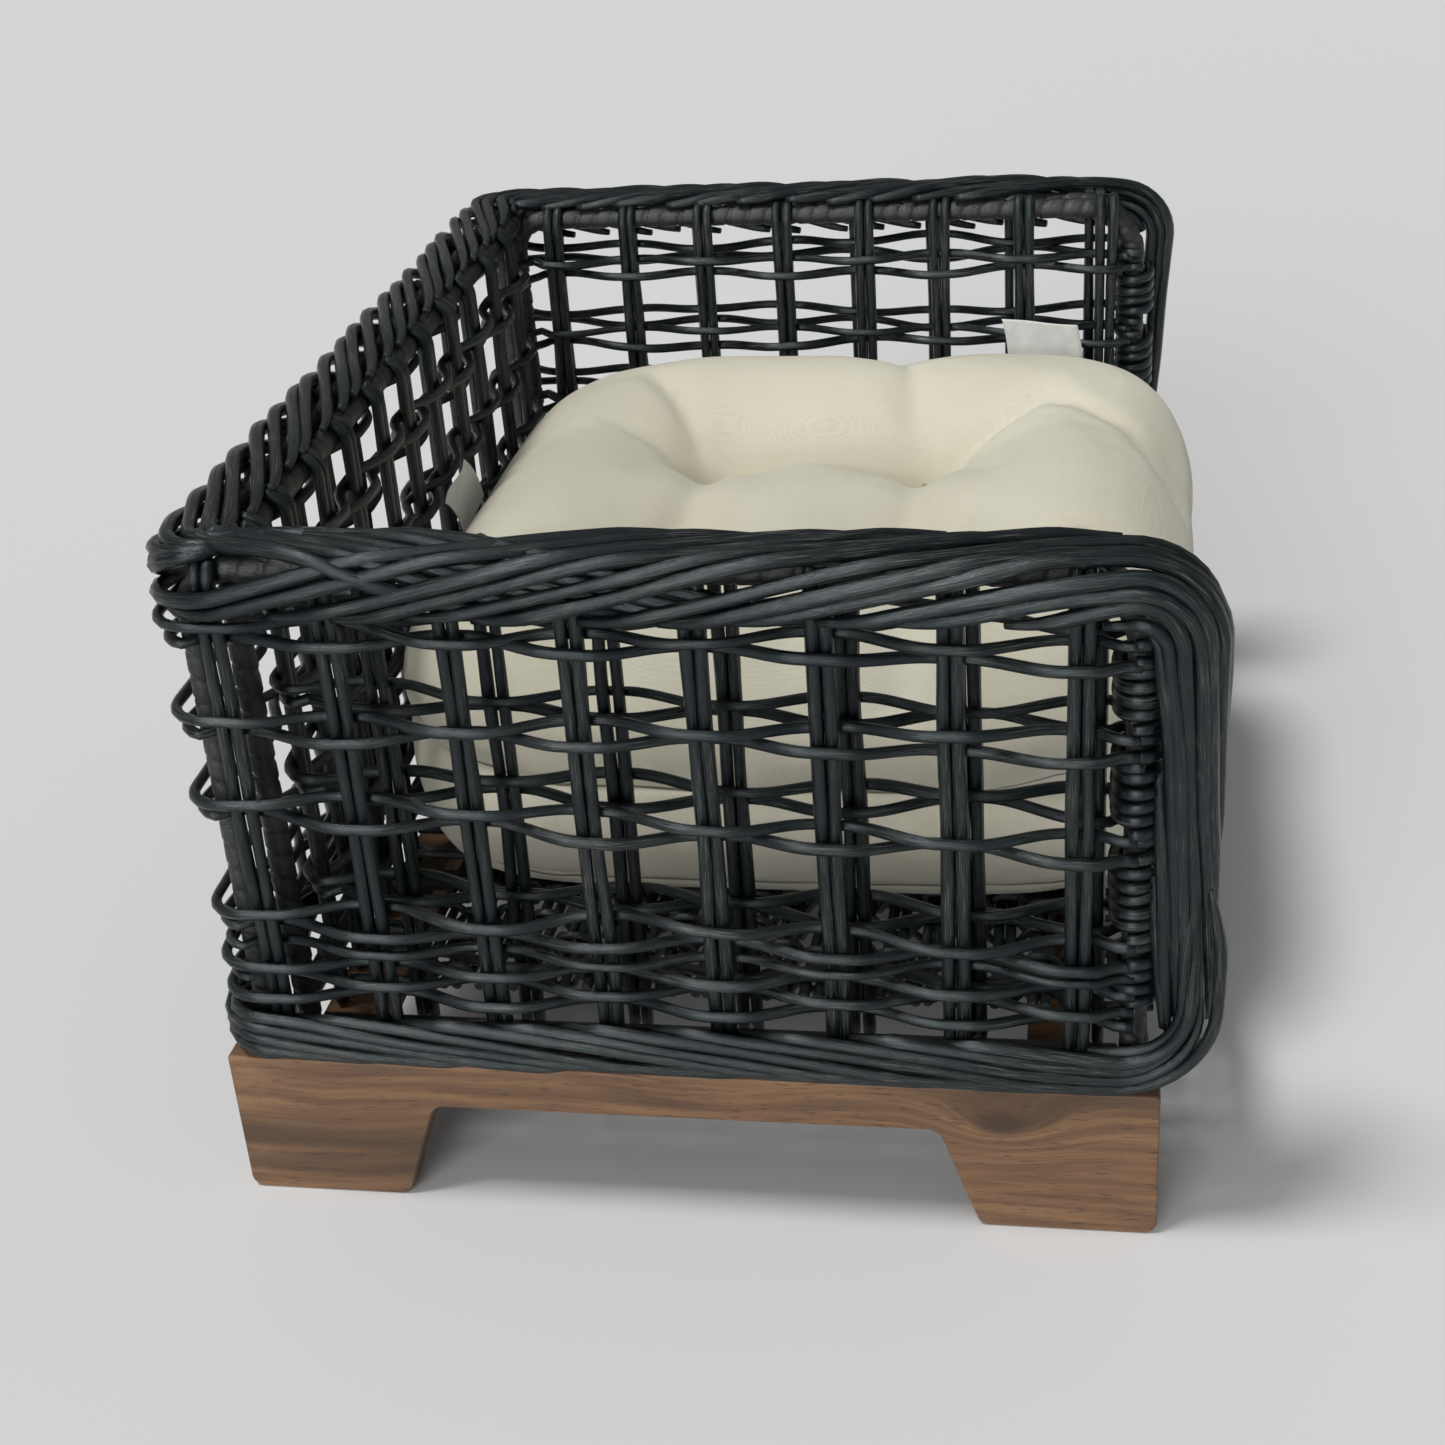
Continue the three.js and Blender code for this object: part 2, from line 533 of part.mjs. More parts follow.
// Spreads grid lines so that the one a third of the way out runs through the tufts.
function throughTufts(value, tuftShare) {
  const share = Math.abs(value);
  const spread = share < 1 / 3 ? share * 3 * tuftShare : tuftShare + (share - 1 / 3) * 1.5 * (1 - tuftShare);
  return Math.sign(value) * spread;
}

// A pillow: a box whose faces bulge, whose corners are drawn in and whose top has the dimples.
function cushionGeometry() {
  const solid = new THREE.BoxGeometry(2, 2, 2, 12, 12, 4);
  solid.deleteAttribute('normal');
  solid.deleteAttribute('uv');
  const geometry = mergeVertices(solid, 1e-4);
  const position = geometry.attributes.position;
  const point = new THREE.Vector3();
  const half = CUSHION_HEIGHT / 2;
  for (let index = 0; index < position.count; index += 1) {
    point.fromBufferAttribute(position, index);
    const u = throughTufts(point.x, 2 * TUFT_OFFSET_X / CUSHION_LENGTH);
    const v = throughTufts(point.y, 2 * TUFT_OFFSET_Y / CUSHION_DEPTH);
    const out = Math.max(Math.abs(u), Math.abs(v));
    const edge = 1 - EDGE_ROUNDING * point.z ** 2 * out ** 6;
    const x = u * (1 - CORNER_PULL * v ** 4) * edge * CUSHION_LENGTH / 2;
    const y = v * (1 - CORNER_PULL * u ** 4) * edge * CUSHION_DEPTH / 2;
    const crown = point.z > 0 ? 1 - TOP_CROWN * out ** 4 : 1 - BOTTOM_CROWN * out ** 6;
    const drop = point.z > 0.99 ? dimple(x, y) : 0;
    position.setXYZ(index,
      x + CUSHION_X, y + CUSHION_Y, CUSHION_BOTTOM + half * (1 + point.z * crown) - drop);
  }
  return geometry;
}

function buildCushion() {
  addPiece(cushion, 'cushion', 'cushion_cloth', cushionGeometry());
  const knotZ = CUSHION_BOTTOM + CUSHION_HEIGHT - TUFT_DEPTH + KNOT_LIFT;
  tuftCentres.forEach(([tuftX, tuftY], index) => {
    const x = tuftX + CUSHION_X;
    const y = tuftY + CUSHION_Y;
    addPiece(cushion, `tuft_tie_${index + 1}`, 'thread',
      bar([x, y, knotZ], [x, y, knotZ + KNOT_HEIGHT], KNOT_RADIUS, 8));
  });
  const labelTop = SEAM_HEIGHT + LABEL_HEIGHT;
  const backFace = CUSHION_Y + CUSHION_DEPTH / 2 + GAP;
  addPiece(cushion, 'care_label_back', 'label_cloth', block(
    [CUSHION_X - LABEL_WIDTH, backFace, SEAM_HEIGHT],
    [CUSHION_X, backFace + LABEL_THICKNESS, labelTop]));
  const rightFace = CUSHION_X + CUSHION_LENGTH / 2 + GAP;
  const labelY = CUSHION_Y - CUSHION_DEPTH / 3;
  addPiece(cushion, 'care_label_right', 'label_cloth', block(
    [rightFace, labelY, SEAM_HEIGHT],
    [rightFace + LABEL_THICKNESS, labelY + LABEL_WIDTH, labelTop]));
}

const railYs = buildStand();
buildFrame(railYs);
buildWalls();
buildFloor();
buildBorders();
buildCushion();

const model = new THREE.Group();
model.add(basket, cushion);

export default model;
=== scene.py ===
"""Wicker pet bed basket on a low wooden stand, with a loose tufted cushion.

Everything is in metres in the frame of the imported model: X runs along the bed, the closed back
wall faces +Y, the open front faces -Y and Z is up. Rods are tubes carried along lines that are
laid out by their directions, the cushion is a swollen pillow settled by a cloth simulation, and
every finish is a procedural material.
"""

import logging
import math
from collections.abc import Sequence
from dataclasses import dataclass, field
from enum import Enum

import bpy
import numpy as np
from mathutils import Matrix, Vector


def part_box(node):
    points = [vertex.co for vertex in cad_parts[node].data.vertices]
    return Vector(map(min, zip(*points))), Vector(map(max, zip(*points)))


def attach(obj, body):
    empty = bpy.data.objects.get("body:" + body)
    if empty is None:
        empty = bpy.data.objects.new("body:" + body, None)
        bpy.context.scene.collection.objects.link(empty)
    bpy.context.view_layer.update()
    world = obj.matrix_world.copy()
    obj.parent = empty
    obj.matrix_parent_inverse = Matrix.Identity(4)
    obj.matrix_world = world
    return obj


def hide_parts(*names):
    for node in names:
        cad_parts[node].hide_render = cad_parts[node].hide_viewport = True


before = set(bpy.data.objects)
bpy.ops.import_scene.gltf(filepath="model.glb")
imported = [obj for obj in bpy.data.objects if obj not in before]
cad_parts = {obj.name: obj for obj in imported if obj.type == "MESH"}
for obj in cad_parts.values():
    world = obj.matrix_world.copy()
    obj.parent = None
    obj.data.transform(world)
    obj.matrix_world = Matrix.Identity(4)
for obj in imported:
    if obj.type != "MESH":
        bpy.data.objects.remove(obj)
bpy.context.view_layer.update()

MM = 0.001
LOG = logging.getLogger("pet_bed")


class Slot(Enum):
    """The record's material slots."""

    WICKER = "wicker"
    POLE = "rattan_pole"
    WOOD = "stand_wood"
    STEEL = "screw_steel"
    CLOTH = "cushion_cloth"
    LABEL = "label_cloth"
    THREAD = "tuft_thread"


class Body(Enum):
    """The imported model's moving bodies."""

    BASKET = "basket"
    CUSHION = "cushion"


class Side(Enum):
    """The two ends of the bed, by the sign of their X."""

    LEFT = -1
    RIGHT = 1

    @property
    def word(self) -> str:
        """The side's name as the nodes spell it."""
        return self.name.lower()


# ---- shader expressions -------------------------------------------------------------------------
@dataclass(frozen=True)
class Value:
    """A number socket whose arithmetic adds Math nodes to its tree."""

    tree: bpy.types.NodeTree
    socket: bpy.types.NodeSocket

    def math(self, operation: str, *others: "Value | float", clamp: bool = False) -> "Value":
        """One Math node.

        Args:
            operation: the node's operation.
            others: its second and third operands.
            clamp: keep the result between 0 and 1.

        Returns:
            The node's result.
        """
        return self._apply(operation, (self, *others), clamp)

    def _apply(self, operation: str, operands: Sequence["Value | float"], clamp: bool = False) -> "Value":
        """Adds a Math node with these operands in this order and returns its result.

        Args:
            operation: the node's operation.
            operands: its operands, numbers or values.
            clamp: keep the result between 0 and 1.

        Returns:
            The node's result.
        """
        node = self.tree.nodes.new("ShaderNodeMath")
        node.operation = operation
        node.use_clamp = clamp
        for index, operand in enumerate(operands):
            if isinstance(operand, Value):
                self.tree.links.new(operand.socket, node.inputs[index])
            else:
                node.inputs[index].default_value = operand
        return Value(self.tree, node.outputs[0])

    def __add__(self, other: "Value | float") -> "Value":
        """self + other."""
        return self._apply("ADD", (self, other))

    __radd__ = __add__

    def __sub__(self, other: "Value | float") -> "Value":
        """self - other."""
        return self._apply("SUBTRACT", (self, other))

    def __rsub__(self, other: float) -> "Value":
        """other - self."""
        return self._apply("SUBTRACT", (other, self))

    def __mul__(self, other: "Value | float") -> "Value":
        """self * other."""
        return self._apply("MULTIPLY", (self, other))

    __rmul__ = __mul__

    def __truediv__(self, other: "Value | float") -> "Value":
        """self / other."""
        return self._apply("DIVIDE", (self, other))

    def __pow__(self, other: float) -> "Value":
        """self to the power of other."""
        return self._apply("POWER", (self, other))

    def clamped(self) -> "Value":
        """The value kept between 0 and 1."""
        return self._apply("ADD", (self, 0.0), clamp=True)

    def step(self, low: float, high: float) -> "Value":
        """A smooth step from 0 at low to 1 at high, or falling where low is above high.

        Args:
            low: where the step starts.
            high: where it ends.

        Returns:
            The stepped value.
        """
        node = self.tree.nodes.new("ShaderNodeMapRange")
        node.interpolation_type = "SMOOTHSTEP"
        self.tree.links.new(self.socket, node.inputs["Value"])
        rising = low < high
        node.inputs["From Min"].default_value = min(low, high)
        node.inputs["From Max"].default_value = max(low, high)
        node.inputs["To Min"].default_value = 0.0 if rising else 1.0
        node.inputs["To Max"].default_value = 1.0 if rising else 0.0
        return Value(self.tree, node.outputs["Result"])


Colour = tuple[float, float, float]


class Shader:
    """One material: a Principled surface and the nodes that feed it."""

    def __init__(self, name: str) -> None:
        """Starts an empty node tree that ends in a Principled surface.

        Args:
            name: the material's name.
        """
        self.material = bpy.data.materials.new(name)
        self.material.use_nodes = True
        self.tree = self.material.node_tree
        self.tree.nodes.clear()
        self.surface = self.tree.nodes.new("ShaderNodeBsdfPrincipled")
        output = self.tree.nodes.new("ShaderNodeOutputMaterial")
        self.tree.links.new(self.surface.outputs["BSDF"], output.inputs["Surface"])

    def node(self, kind: str, settings: dict, **inputs: object) -> bpy.types.Node:
        """Adds a node.

        Args:
            kind: the node's type.
            settings: its own properties, set before its sockets.
            inputs: its sockets' values or links, with _ for a blank in a socket's name.

        Returns:
            The node.
        """
        node = self.tree.nodes.new(kind)
        for key, value in settings.items():
            setattr(node, key, value)
        for key, value in inputs.items():
            self.feed(node, key.replace("_", " "), value)
        return node

    def feed(self, node: bpy.types.Node, name: str | int, value: object) -> None:
        """Links a value, socket or plain number to one input of a node.

        Args:
            node: the node.
            name: the input's name or place.
            value: what it gets.
        """
        target = node.inputs[name]
        if isinstance(value, Value):
            self.tree.links.new(value.socket, target)
        elif isinstance(value, bpy.types.NodeSocket):
            self.tree.links.new(value, target)
        elif isinstance(value, tuple) and len(value) == 3 and target.type == "RGBA":
            target.default_value = (*value, 1.0)
        else:
            target.default_value = value

    def value(self, node: bpy.types.Node, name: str | int = 0) -> Value:
        """One output of a node as a value."""
        return Value(self.tree, node.outputs[name])

    def place(self, stretch: tuple[float, float, float] = (1, 1, 1),
              shift: tuple[float, float, float] = (0, 0, 0)) -> bpy.types.NodeSocket:
        """Object coordinates, stretched and shifted.

        Args:
            stretch: factor on each axis.
            shift: what is added on each axis.

        Returns:
            The vector.
        """
        source = self.node("ShaderNodeTexCoord", {})
        mapping = self.node("ShaderNodeMapping", {}, Vector=source.outputs["Object"],
                            Scale=stretch, Location=shift)
        return mapping.outputs["Vector"]

    def rod_place(self, along: float, around: float) -> bpy.types.NodeSocket:
        """A vector that runs along a rod and turns round it without a seam.

        The rod's UV map holds its length and its turn: the turn becomes a point on a circle, and
        each rod's own shade number shifts it to its own stretch of the pattern.

        Args:
            along: pattern units for each unit of length.
            around: radius of the circle in pattern units.

        Returns:
            The vector.
        """
        parts = self.node("ShaderNodeSeparateXYZ", {}, Vector=self.node(
            "ShaderNodeUVMap", {"uv_map": "rod"}).outputs["UV"])
        angle = self.value(parts, "Y") * math.tau
        own = self.attribute("shade") * 31.0
        point = self.node("ShaderNodeCombineXYZ", {}, X=angle.math("COSINE") * around,
                          Y=angle.math("SINE") * around,
                          Z=self.value(parts, "X") * along + own)
        return point.outputs["Vector"]

    def attribute(self, name: str) -> Value:
        """A number attribute of the mesh."""
        return self.value(self.node("ShaderNodeAttribute", {"attribute_name": name}), "Fac")

    def noise(self, vector: bpy.types.NodeSocket, scale: float, detail: float = 4.0,
              roughness: float = 0.55, distortion: float = 0.0) -> Value:
        """Smooth noise between 0 and 1.

        Args:
            vector: where it is read.
            scale: its frequency.
            detail: how many octaves.
            roughness: how strong the finer ones are.
            distortion: how much it is bent.

        Returns:
            The noise.
        """
        return self.value(self.node("ShaderNodeTexNoise", {}, Vector=vector, Scale=scale,
                                    Detail=detail, Roughness=roughness, Distortion=distortion), "Fac")

    def cells(self, vector: bpy.types.NodeSocket, scale: float) -> Value:
        """Distance to the nearest of many scattered points."""
        return self.value(self.node("ShaderNodeTexVoronoi", {}, Vector=vector, Scale=scale), "Distance")

    def mix(self, factor: Value | float, first: Colour | bpy.types.NodeSocket,
            second: Colour | bpy.types.NodeSocket, blend: str = "MIX") -> bpy.types.NodeSocket:
        """A colour between two.

        Args:
            factor: 0 for the first, 1 for the second.
            first: the first colour.
            second: the second colour.
            blend: how the second is laid over the first.

        Returns:
            The mixed colour.
        """
        node = self.tree.nodes.new("ShaderNodeMix")
        node.data_type = "RGBA"
        node.blend_type = blend
        self.feed(node, 0, factor)
        self.feed(node, 6, first)
        self.feed(node, 7, second)
        return node.outputs[2]

    def finish(self, colour: bpy.types.NodeSocket | Colour, roughness: Value | float,
               height: Value | None = None, depth: float = 0.0, strength: float = 1.0,
               **constants: float | tuple[float, ...]) -> bpy.types.Material:
        """Feeds the surface.

        Args:
            colour: its base colour.
            roughness: its roughness.
            height: bump height, if it has any.
            depth: distance in metres that the height stands for.
            strength: strength of the bump.
            constants: plain numbers for other sockets of the surface.

        Returns:
            The material.
        """
        self.feed(self.surface, "Base Color", colour)
        self.feed(self.surface, "Roughness", roughness)
        if height is not None:
            bump = self.node("ShaderNodeBump", {}, Height=height, Distance=depth, Strength=strength)
            self.feed(self.surface, "Normal", bump.outputs["Normal"])
        for key, value in constants.items():
            self.surface.inputs[key.replace("_", " ")].default_value = value
        return self.material


# ---- finishes -----------------------------------------------------------------------------------
@dataclass(frozen=True)
class WickerFinish:
    """Black stained willow: blue-grey streaks along the rod, pale patches of painted sheen along it, and pale
    cut ends.
    """

    name: str = "black_wicker"
    dark: Colour = (0.0008, 0.0024, 0.0034)
    middle: Colour = (0.0036, 0.0080, 0.0095)
    # pale: the colour of the painted sheen streaks
    pale: Colour = (0.1350, 0.1420, 0.1250)
    cut: Colour = (0.0420, 0.0500, 0.0480)
    roughness: float = 0.20

    def material(self) -> bpy.types.Material:
        """Streaks are noise drawn out along the rod, and a second noise in patches lightens them as painted
        sheen.

        Returns:
            The finished material.
        """
        shader = Shader(self.name)
        streak = shader.noise(shader.rod_place(0.16, 1.0), 3.2, 5.0, 0.66)
        fibre = shader.noise(shader.rod_place(0.20, 1.0), 6.0, 3.0, 0.65)
        sheen_patches = shader.noise(shader.place(), 26.0, 3.0, 0.5)
        own = shader.attribute("shade")
        tone = (streak * 0.75 + fibre * 0.35 + own * 0.22 - 0.11).step(0.36, 0.80)
        base = shader.mix(tone, self.dark, self.middle)
        # painted sheen: pale patches along the rods stand in for their highlights
        painted_sheen = (fibre.step(0.49, 0.68) * sheen_patches.step(0.34, 0.62)).clamped()
        base = shader.mix(painted_sheen * 0.55, base, self.pale)
        base = shader.mix(shader.attribute("cut"), base, self.cut)
        rough = self.roughness + streak * 0.20
        height = streak * 0.45 + fibre * 0.55
        return shader.finish(base, rough, height, 0.0008, 0.75, Specular_IOR_Level=0.46,
                             Specular_Tint=(0.88, 0.97, 1.0, 1.0))


@dataclass(frozen=True)
class PoleFinish:
    """Black stained rattan cane: long fibres and a few lighter scuffs."""

    name: str = "dark_rattan"
    dark: Colour = (0.0050, 0.0068, 0.0075)
    light: Colour = (0.0330, 0.0360, 0.0340)
    roughness: float = 0.30

    def material(self) -> bpy.types.Material:
        """Fibres run along the pole, with cloudy patches over them.

        Returns:
            The finished material.
        """
        shader = Shader(self.name)
        fibre = shader.noise(shader.rod_place(0.8, 1.4), 7.0, 5.0, 0.65)
        cloud = shader.noise(shader.place(), 34.0, 3.0, 0.5)
        tone = (fibre * 0.8 + cloud * 0.5 - 0.1).step(0.30, 0.85)
        rough = self.roughness + fibre * 0.2
        return shader.finish(shader.mix(tone, self.dark, self.light), rough, fibre, 0.0008, 0.5)


@dataclass(frozen=True)
class WoodFinish:
    """Oiled brown hardwood: grain along Y, darker bands, fine pores and one knot."""

    name: str = "brown_hardwood"
    light: Colour = (0.228, 0.126, 0.062)
    middle: Colour = (0.130, 0.068, 0.036)
    dark: Colour = (0.052, 0.030, 0.018)
    pore: Colour = (0.026, 0.015, 0.010)
    knot: tuple[float, float, float] = (-0.290, -0.137, 0.0595)
    knot_size: float = 0.010

    def material(self) -> bpy.types.Material:
        """Rings are noise drawn out along the board and pushed aside round the knot.

        Returns:
            The finished material.
        """
        shader = Shader(self.name)
        centred = shader.place(shift=tuple(-value for value in self.knot))
        parts = shader.node("ShaderNodeSeparateXYZ", {}, Vector=centred)
        across = shader.value(parts, "Z")
        along = shader.value(parts, "Y")
        ring = ((across * across * 1.5 + along * along * 0.5).math("SQRT")) / self.knot_size
        push = (ring * ring * -0.28).math("EXPONENT") * 0.020
        source = shader.node("ShaderNodeSeparateXYZ", {}, Vector=shader.place())
        bent = shader.node("ShaderNodeCombineXYZ", {}, X=shader.value(source, "X") * 0.6,
                           Y=shader.value(source, "Y") * 0.055,
                           Z=shader.value(source, "Z") + push)
        warp = shader.noise(shader.place((3.0, 3.0, 3.0)), 3.0, 2.0)
        moved = shader.node("ShaderNodeVectorMath", {"operation": "ADD"})
        shader.feed(moved, 0, bent.outputs["Vector"])
        lift = shader.node("ShaderNodeCombineXYZ", {}, Z=warp * 0.016)
        shader.feed(moved, 1, lift.outputs["Vector"])
        grain = shader.noise(moved.outputs["Vector"], 190.0, 6.0, 0.62, 0.3)
        bands = shader.noise(moved.outputs["Vector"], 46.0, 3.0, 0.5)
        pores = shader.noise(shader.place((1.0, 0.10, 1.0)), 900.0, 2.0, 0.5)
        low = shader.value(source, "Z")
        colour = shader.mix(grain.step(0.34, 0.66), self.middle, self.light)
        colour = shader.mix(bands.step(0.52, 0.66) * 0.62, colour, self.dark)
        far_half = shader.value(source, "Y").step(0.02, 0.13)
        dark_band = low.step(0.024, 0.030) * low.step(0.050, 0.036) * far_half
        colour = shader.mix(dark_band * grain.step(0.2, 0.6) * 0.55, colour, self.dark)
        colour = shader.mix(pores.step(0.60, 0.70) * 0.55, colour, self.pore)
        colour = shader.mix(ring.step(1.15, 0.35) * 0.85, colour, self.dark)
        speck = shader.cells(shader.place((1.0, 0.6, 1.0)), 26.0).step(0.045, 0.030)
        colour = shader.mix(speck * 0.8, colour, self.pore)
        rough = 0.46 + grain * 0.14
        height = grain * 0.6 - pores.step(0.60, 0.70) * 0.5
        return shader.finish(colour, rough, height, 0.0006, 0.6, Specular_IOR_Level=0.4)


@dataclass(frozen=True)
class ClothFinish:
    """Cream cotton canvas: a fine plain weave, soft patches and a little sheen."""

    name: str = "cream_canvas"
    light: Colour = (0.760, 0.735, 0.602)
    shade: Colour = (0.680, 0.645, 0.502)
    pitch: float = 0.00065
    roughness: float = 0.88
    sheen: float = 0.25
    seams: tuple[float, float] = (0.116, 0.174)

    def material(self) -> bpy.types.Material:
        """The weave is a grid of waves in X, Y and Z, the patches are two slow noises, and each seam is a
        dark line of painted shade.

        Returns:
            The finished material.
        """
        shader = Shader(self.name)
        parts = shader.node("ShaderNodeSeparateXYZ", {}, Vector=shader.place())
        turn = math.tau / self.pitch
        waves = [(shader.value(parts, axis) * turn).math("SINE") for axis in "XYZ"]
        weave = waves[0] * waves[1] + waves[1] * waves[2] + waves[2] * waves[0]
        slub = shader.noise(shader.place((1.0, 1.0, 1.0)), 700.0, 2.0)
        patch = shader.noise(shader.place(), 9.0, 3.0, 0.5)
        tone = (patch * 0.75 + slub * 0.30 + weave * 0.05).step(0.30, 0.80)
        colour = shader.mix(tone, self.shade, self.light)
        level = shader.value(parts, "Z") + shader.noise(shader.place(), 14.0, 2.0) * 0.008 - 0.004
        # painted shade: each seam groove is painted as a dark line
        for seam in self.seams:
            line = (level - seam).math("ABSOLUTE").step(0.00085, 0.00035)
            colour = shader.mix(line * 0.85, colour, tuple(value * 0.16 for value in self.shade))
        height = weave * 0.35 + slub * 0.8
        return shader.finish(colour, self.roughness, height, 0.00035, 0.5,
                             Sheen_Weight=self.sheen, Sheen_Roughness=0.5, Specular_IOR_Level=0.2)


@dataclass(frozen=True)
class SatinFinish:
    """White woven label tape with a fine rib."""

    name: str = "label_satin"
    light: Colour = (0.80, 0.81, 0.79)
    shade: Colour = (0.66, 0.67, 0.66)

    def material(self) -> bpy.types.Material:
        """Fine ribs along Z over slow patches.

        Returns:
            The finished material.
        """
        shader = Shader(self.name)
        parts = shader.node("ShaderNodeSeparateXYZ", {}, Vector=shader.place())
        rib = (shader.value(parts, "Z") * (math.tau / 0.0009)).math("SINE")
        patch = shader.noise(shader.place(), 60.0, 3.0)
        colour = shader.mix(patch.step(0.35, 0.7), self.shade, self.light)
        return shader.finish(colour, 0.62, rib * 0.5 + patch, 0.0002, 0.5, Sheen_Weight=0.2)


@dataclass(frozen=True)
class ThreadFinish:
    """Waxed cream thread laid in a twist."""

    name: str = "tuft_thread"
    light: Colour = (0.62, 0.57, 0.46)
    shade: Colour = (0.40, 0.36, 0.28)

    def material(self) -> bpy.types.Material:
        """Fibres follow the thread.

        Returns:
            The finished material.
        """
        shader = Shader(self.name)
        fibre = shader.noise(shader.rod_place(1.0, 0.8), 8.0, 4.0)
        return shader.finish(shader.mix(fibre, self.shade, self.light), 0.8, fibre, 0.0003, 0.6)


@dataclass(frozen=True)
class SteelFinish:
    """Zinc plated steel with turning marks."""

    name: str = "zinc_steel"
    light: Colour = (0.60, 0.61, 0.63)
    shade: Colour = (0.36, 0.37, 0.38)

    def material(self) -> bpy.types.Material:
        """Cloudy plating over fine scratches.

        Returns:
            The finished material.
        """
        shader = Shader(self.name)
        cloud = shader.noise(shader.place(), 300.0, 4.0)
        scratch = shader.noise(shader.place((1.0, 8.0, 1.0)), 900.0, 2.0)
        colour = shader.mix(cloud, self.shade, self.light)
        return shader.finish(colour, 0.30 + scratch * 0.2, scratch, 0.0002, 0.4, Metallic=1.0)


# ---- lines, tubes and pieces --------------------------------------------------------------------
def wander(rng: np.random.Generator, lengths: np.ndarray, spacing: float, amount: float) -> np.ndarray:
    """Smooth random drift along a line: normal values at even knots, joined by smooth steps.

    Args:
        rng: the source of chance.
        lengths: distance along the line of each point.
        spacing: distance between knots.
        amount: standard deviation of the drift.

    Returns:
        The drift of each point.
    """
    place = np.abs(lengths - lengths[0]) / spacing
    cell = np.floor(place).astype(int)
    values = rng.normal(0.0, amount, cell.max() + 2)
    share = place - cell
    share = share * share * (3 - 2 * share)
    return values[cell] * (1 - share) + values[cell + 1] * share


def plateaus(lengths: np.ndarray, centres: np.ndarray, levels: np.ndarray, half: float) -> np.ndarray:
    """A wave that is flat within half of each centre and passes between levels by smooth steps.

    Args:
        lengths: where the wave is read.
        centres: middles of the flat stretches, rising.
        levels: the wave's level on each.
        half: half the length of a flat stretch.

    Returns:
        The wave at each length.
    """
    knots = np.stack([centres - half, centres + half], axis=1).ravel()
    heights = np.repeat(levels, 2)
    cell = np.clip(np.searchsorted(knots, lengths, side="right") - 1, 0, knots.size - 2)
    share = np.clip((lengths - knots[cell]) / (knots[cell + 1] - knots[cell]), 0.0, 1.0)
    share = share * share * (3 - 2 * share)
    return heights[cell] * (1 - share) + heights[cell + 1] * share


@dataclass(frozen=True)
class Leg:
    """One stretch of a route: its length, and the heading and climb in degrees where it ends."""

    length: float
    heading: float
    climb: float = 0.0


class Route:
    """A line laid out by its directions.

    Heading and climb are piecewise linear in the distance along the line. The direction is
    cos(climb) of the level heading plus sin(climb) of up, the points are its running sum, the
    outward side is the level normal on the heading's left, and the crown is direction x outward.
    """

    STEP = 0.5 * MM

    def __init__(self, start: Sequence[float], heading: float, climb: float, legs: Sequence[Leg]) -> None:
        """Lays the line out.

        Args:
            start: its first point.
            heading: heading there, in degrees from +X towards +Y.
            climb: climb there, in degrees.
            legs: its stretches in order.
        """
        ends = np.cumsum([0.0, *(leg.length for leg in legs)])
        self.ends = ends
        self.length = float(ends[-1])
        self.lengths = np.linspace(0.0, self.length, int(self.length / self.STEP) + 1)
        turn = np.radians(np.interp(self.lengths, ends, [heading, *(leg.heading for leg in legs)]))
        rise = np.radians(np.interp(self.lengths, ends, [climb, *(leg.climb for leg in legs)]))
        level = np.stack([np.cos(turn), np.sin(turn), np.zeros_like(turn)], axis=1)
        up = np.array([0.0, 0.0, 1.0])
        self.along = np.cos(rise)[:, None] * level + np.sin(rise)[:, None] * up
        self.outward = np.stack([-np.sin(turn), np.cos(turn), np.zeros_like(turn)], axis=1)
        self.crown = np.cross(self.along, self.outward)
        step = self.lengths[1] - self.lengths[0]
        middles = (self.along[1:] + self.along[:-1]) * (step / 2)
        self.points = np.vstack([np.zeros(3), np.cumsum(middles, axis=0)]) + np.asarray(start)

    def read(self, table: np.ndarray, lengths: np.ndarray) -> np.ndarray:
        """One of the route's tables, interpolated at these distances."""
        return np.stack([np.interp(lengths, self.lengths, table[:, axis]) for axis in range(3)], axis=1)

    def at(self, lengths: np.ndarray, out: np.ndarray | float, crown: np.ndarray | float) -> np.ndarray:
        """Points beside the line.

        Args:
            lengths: distance along the line of each point.
            out: offset to the outward side.
            crown: offset to the crown.

        Returns:
            The points.
        """
        out = np.broadcast_to(out, lengths.shape)[:, None]
        crown = np.broadcast_to(crown, lengths.shape)[:, None]
        return (self.read(self.points, lengths) + out * self.read(self.outward, lengths)
                + crown * self.read(self.crown, lengths))


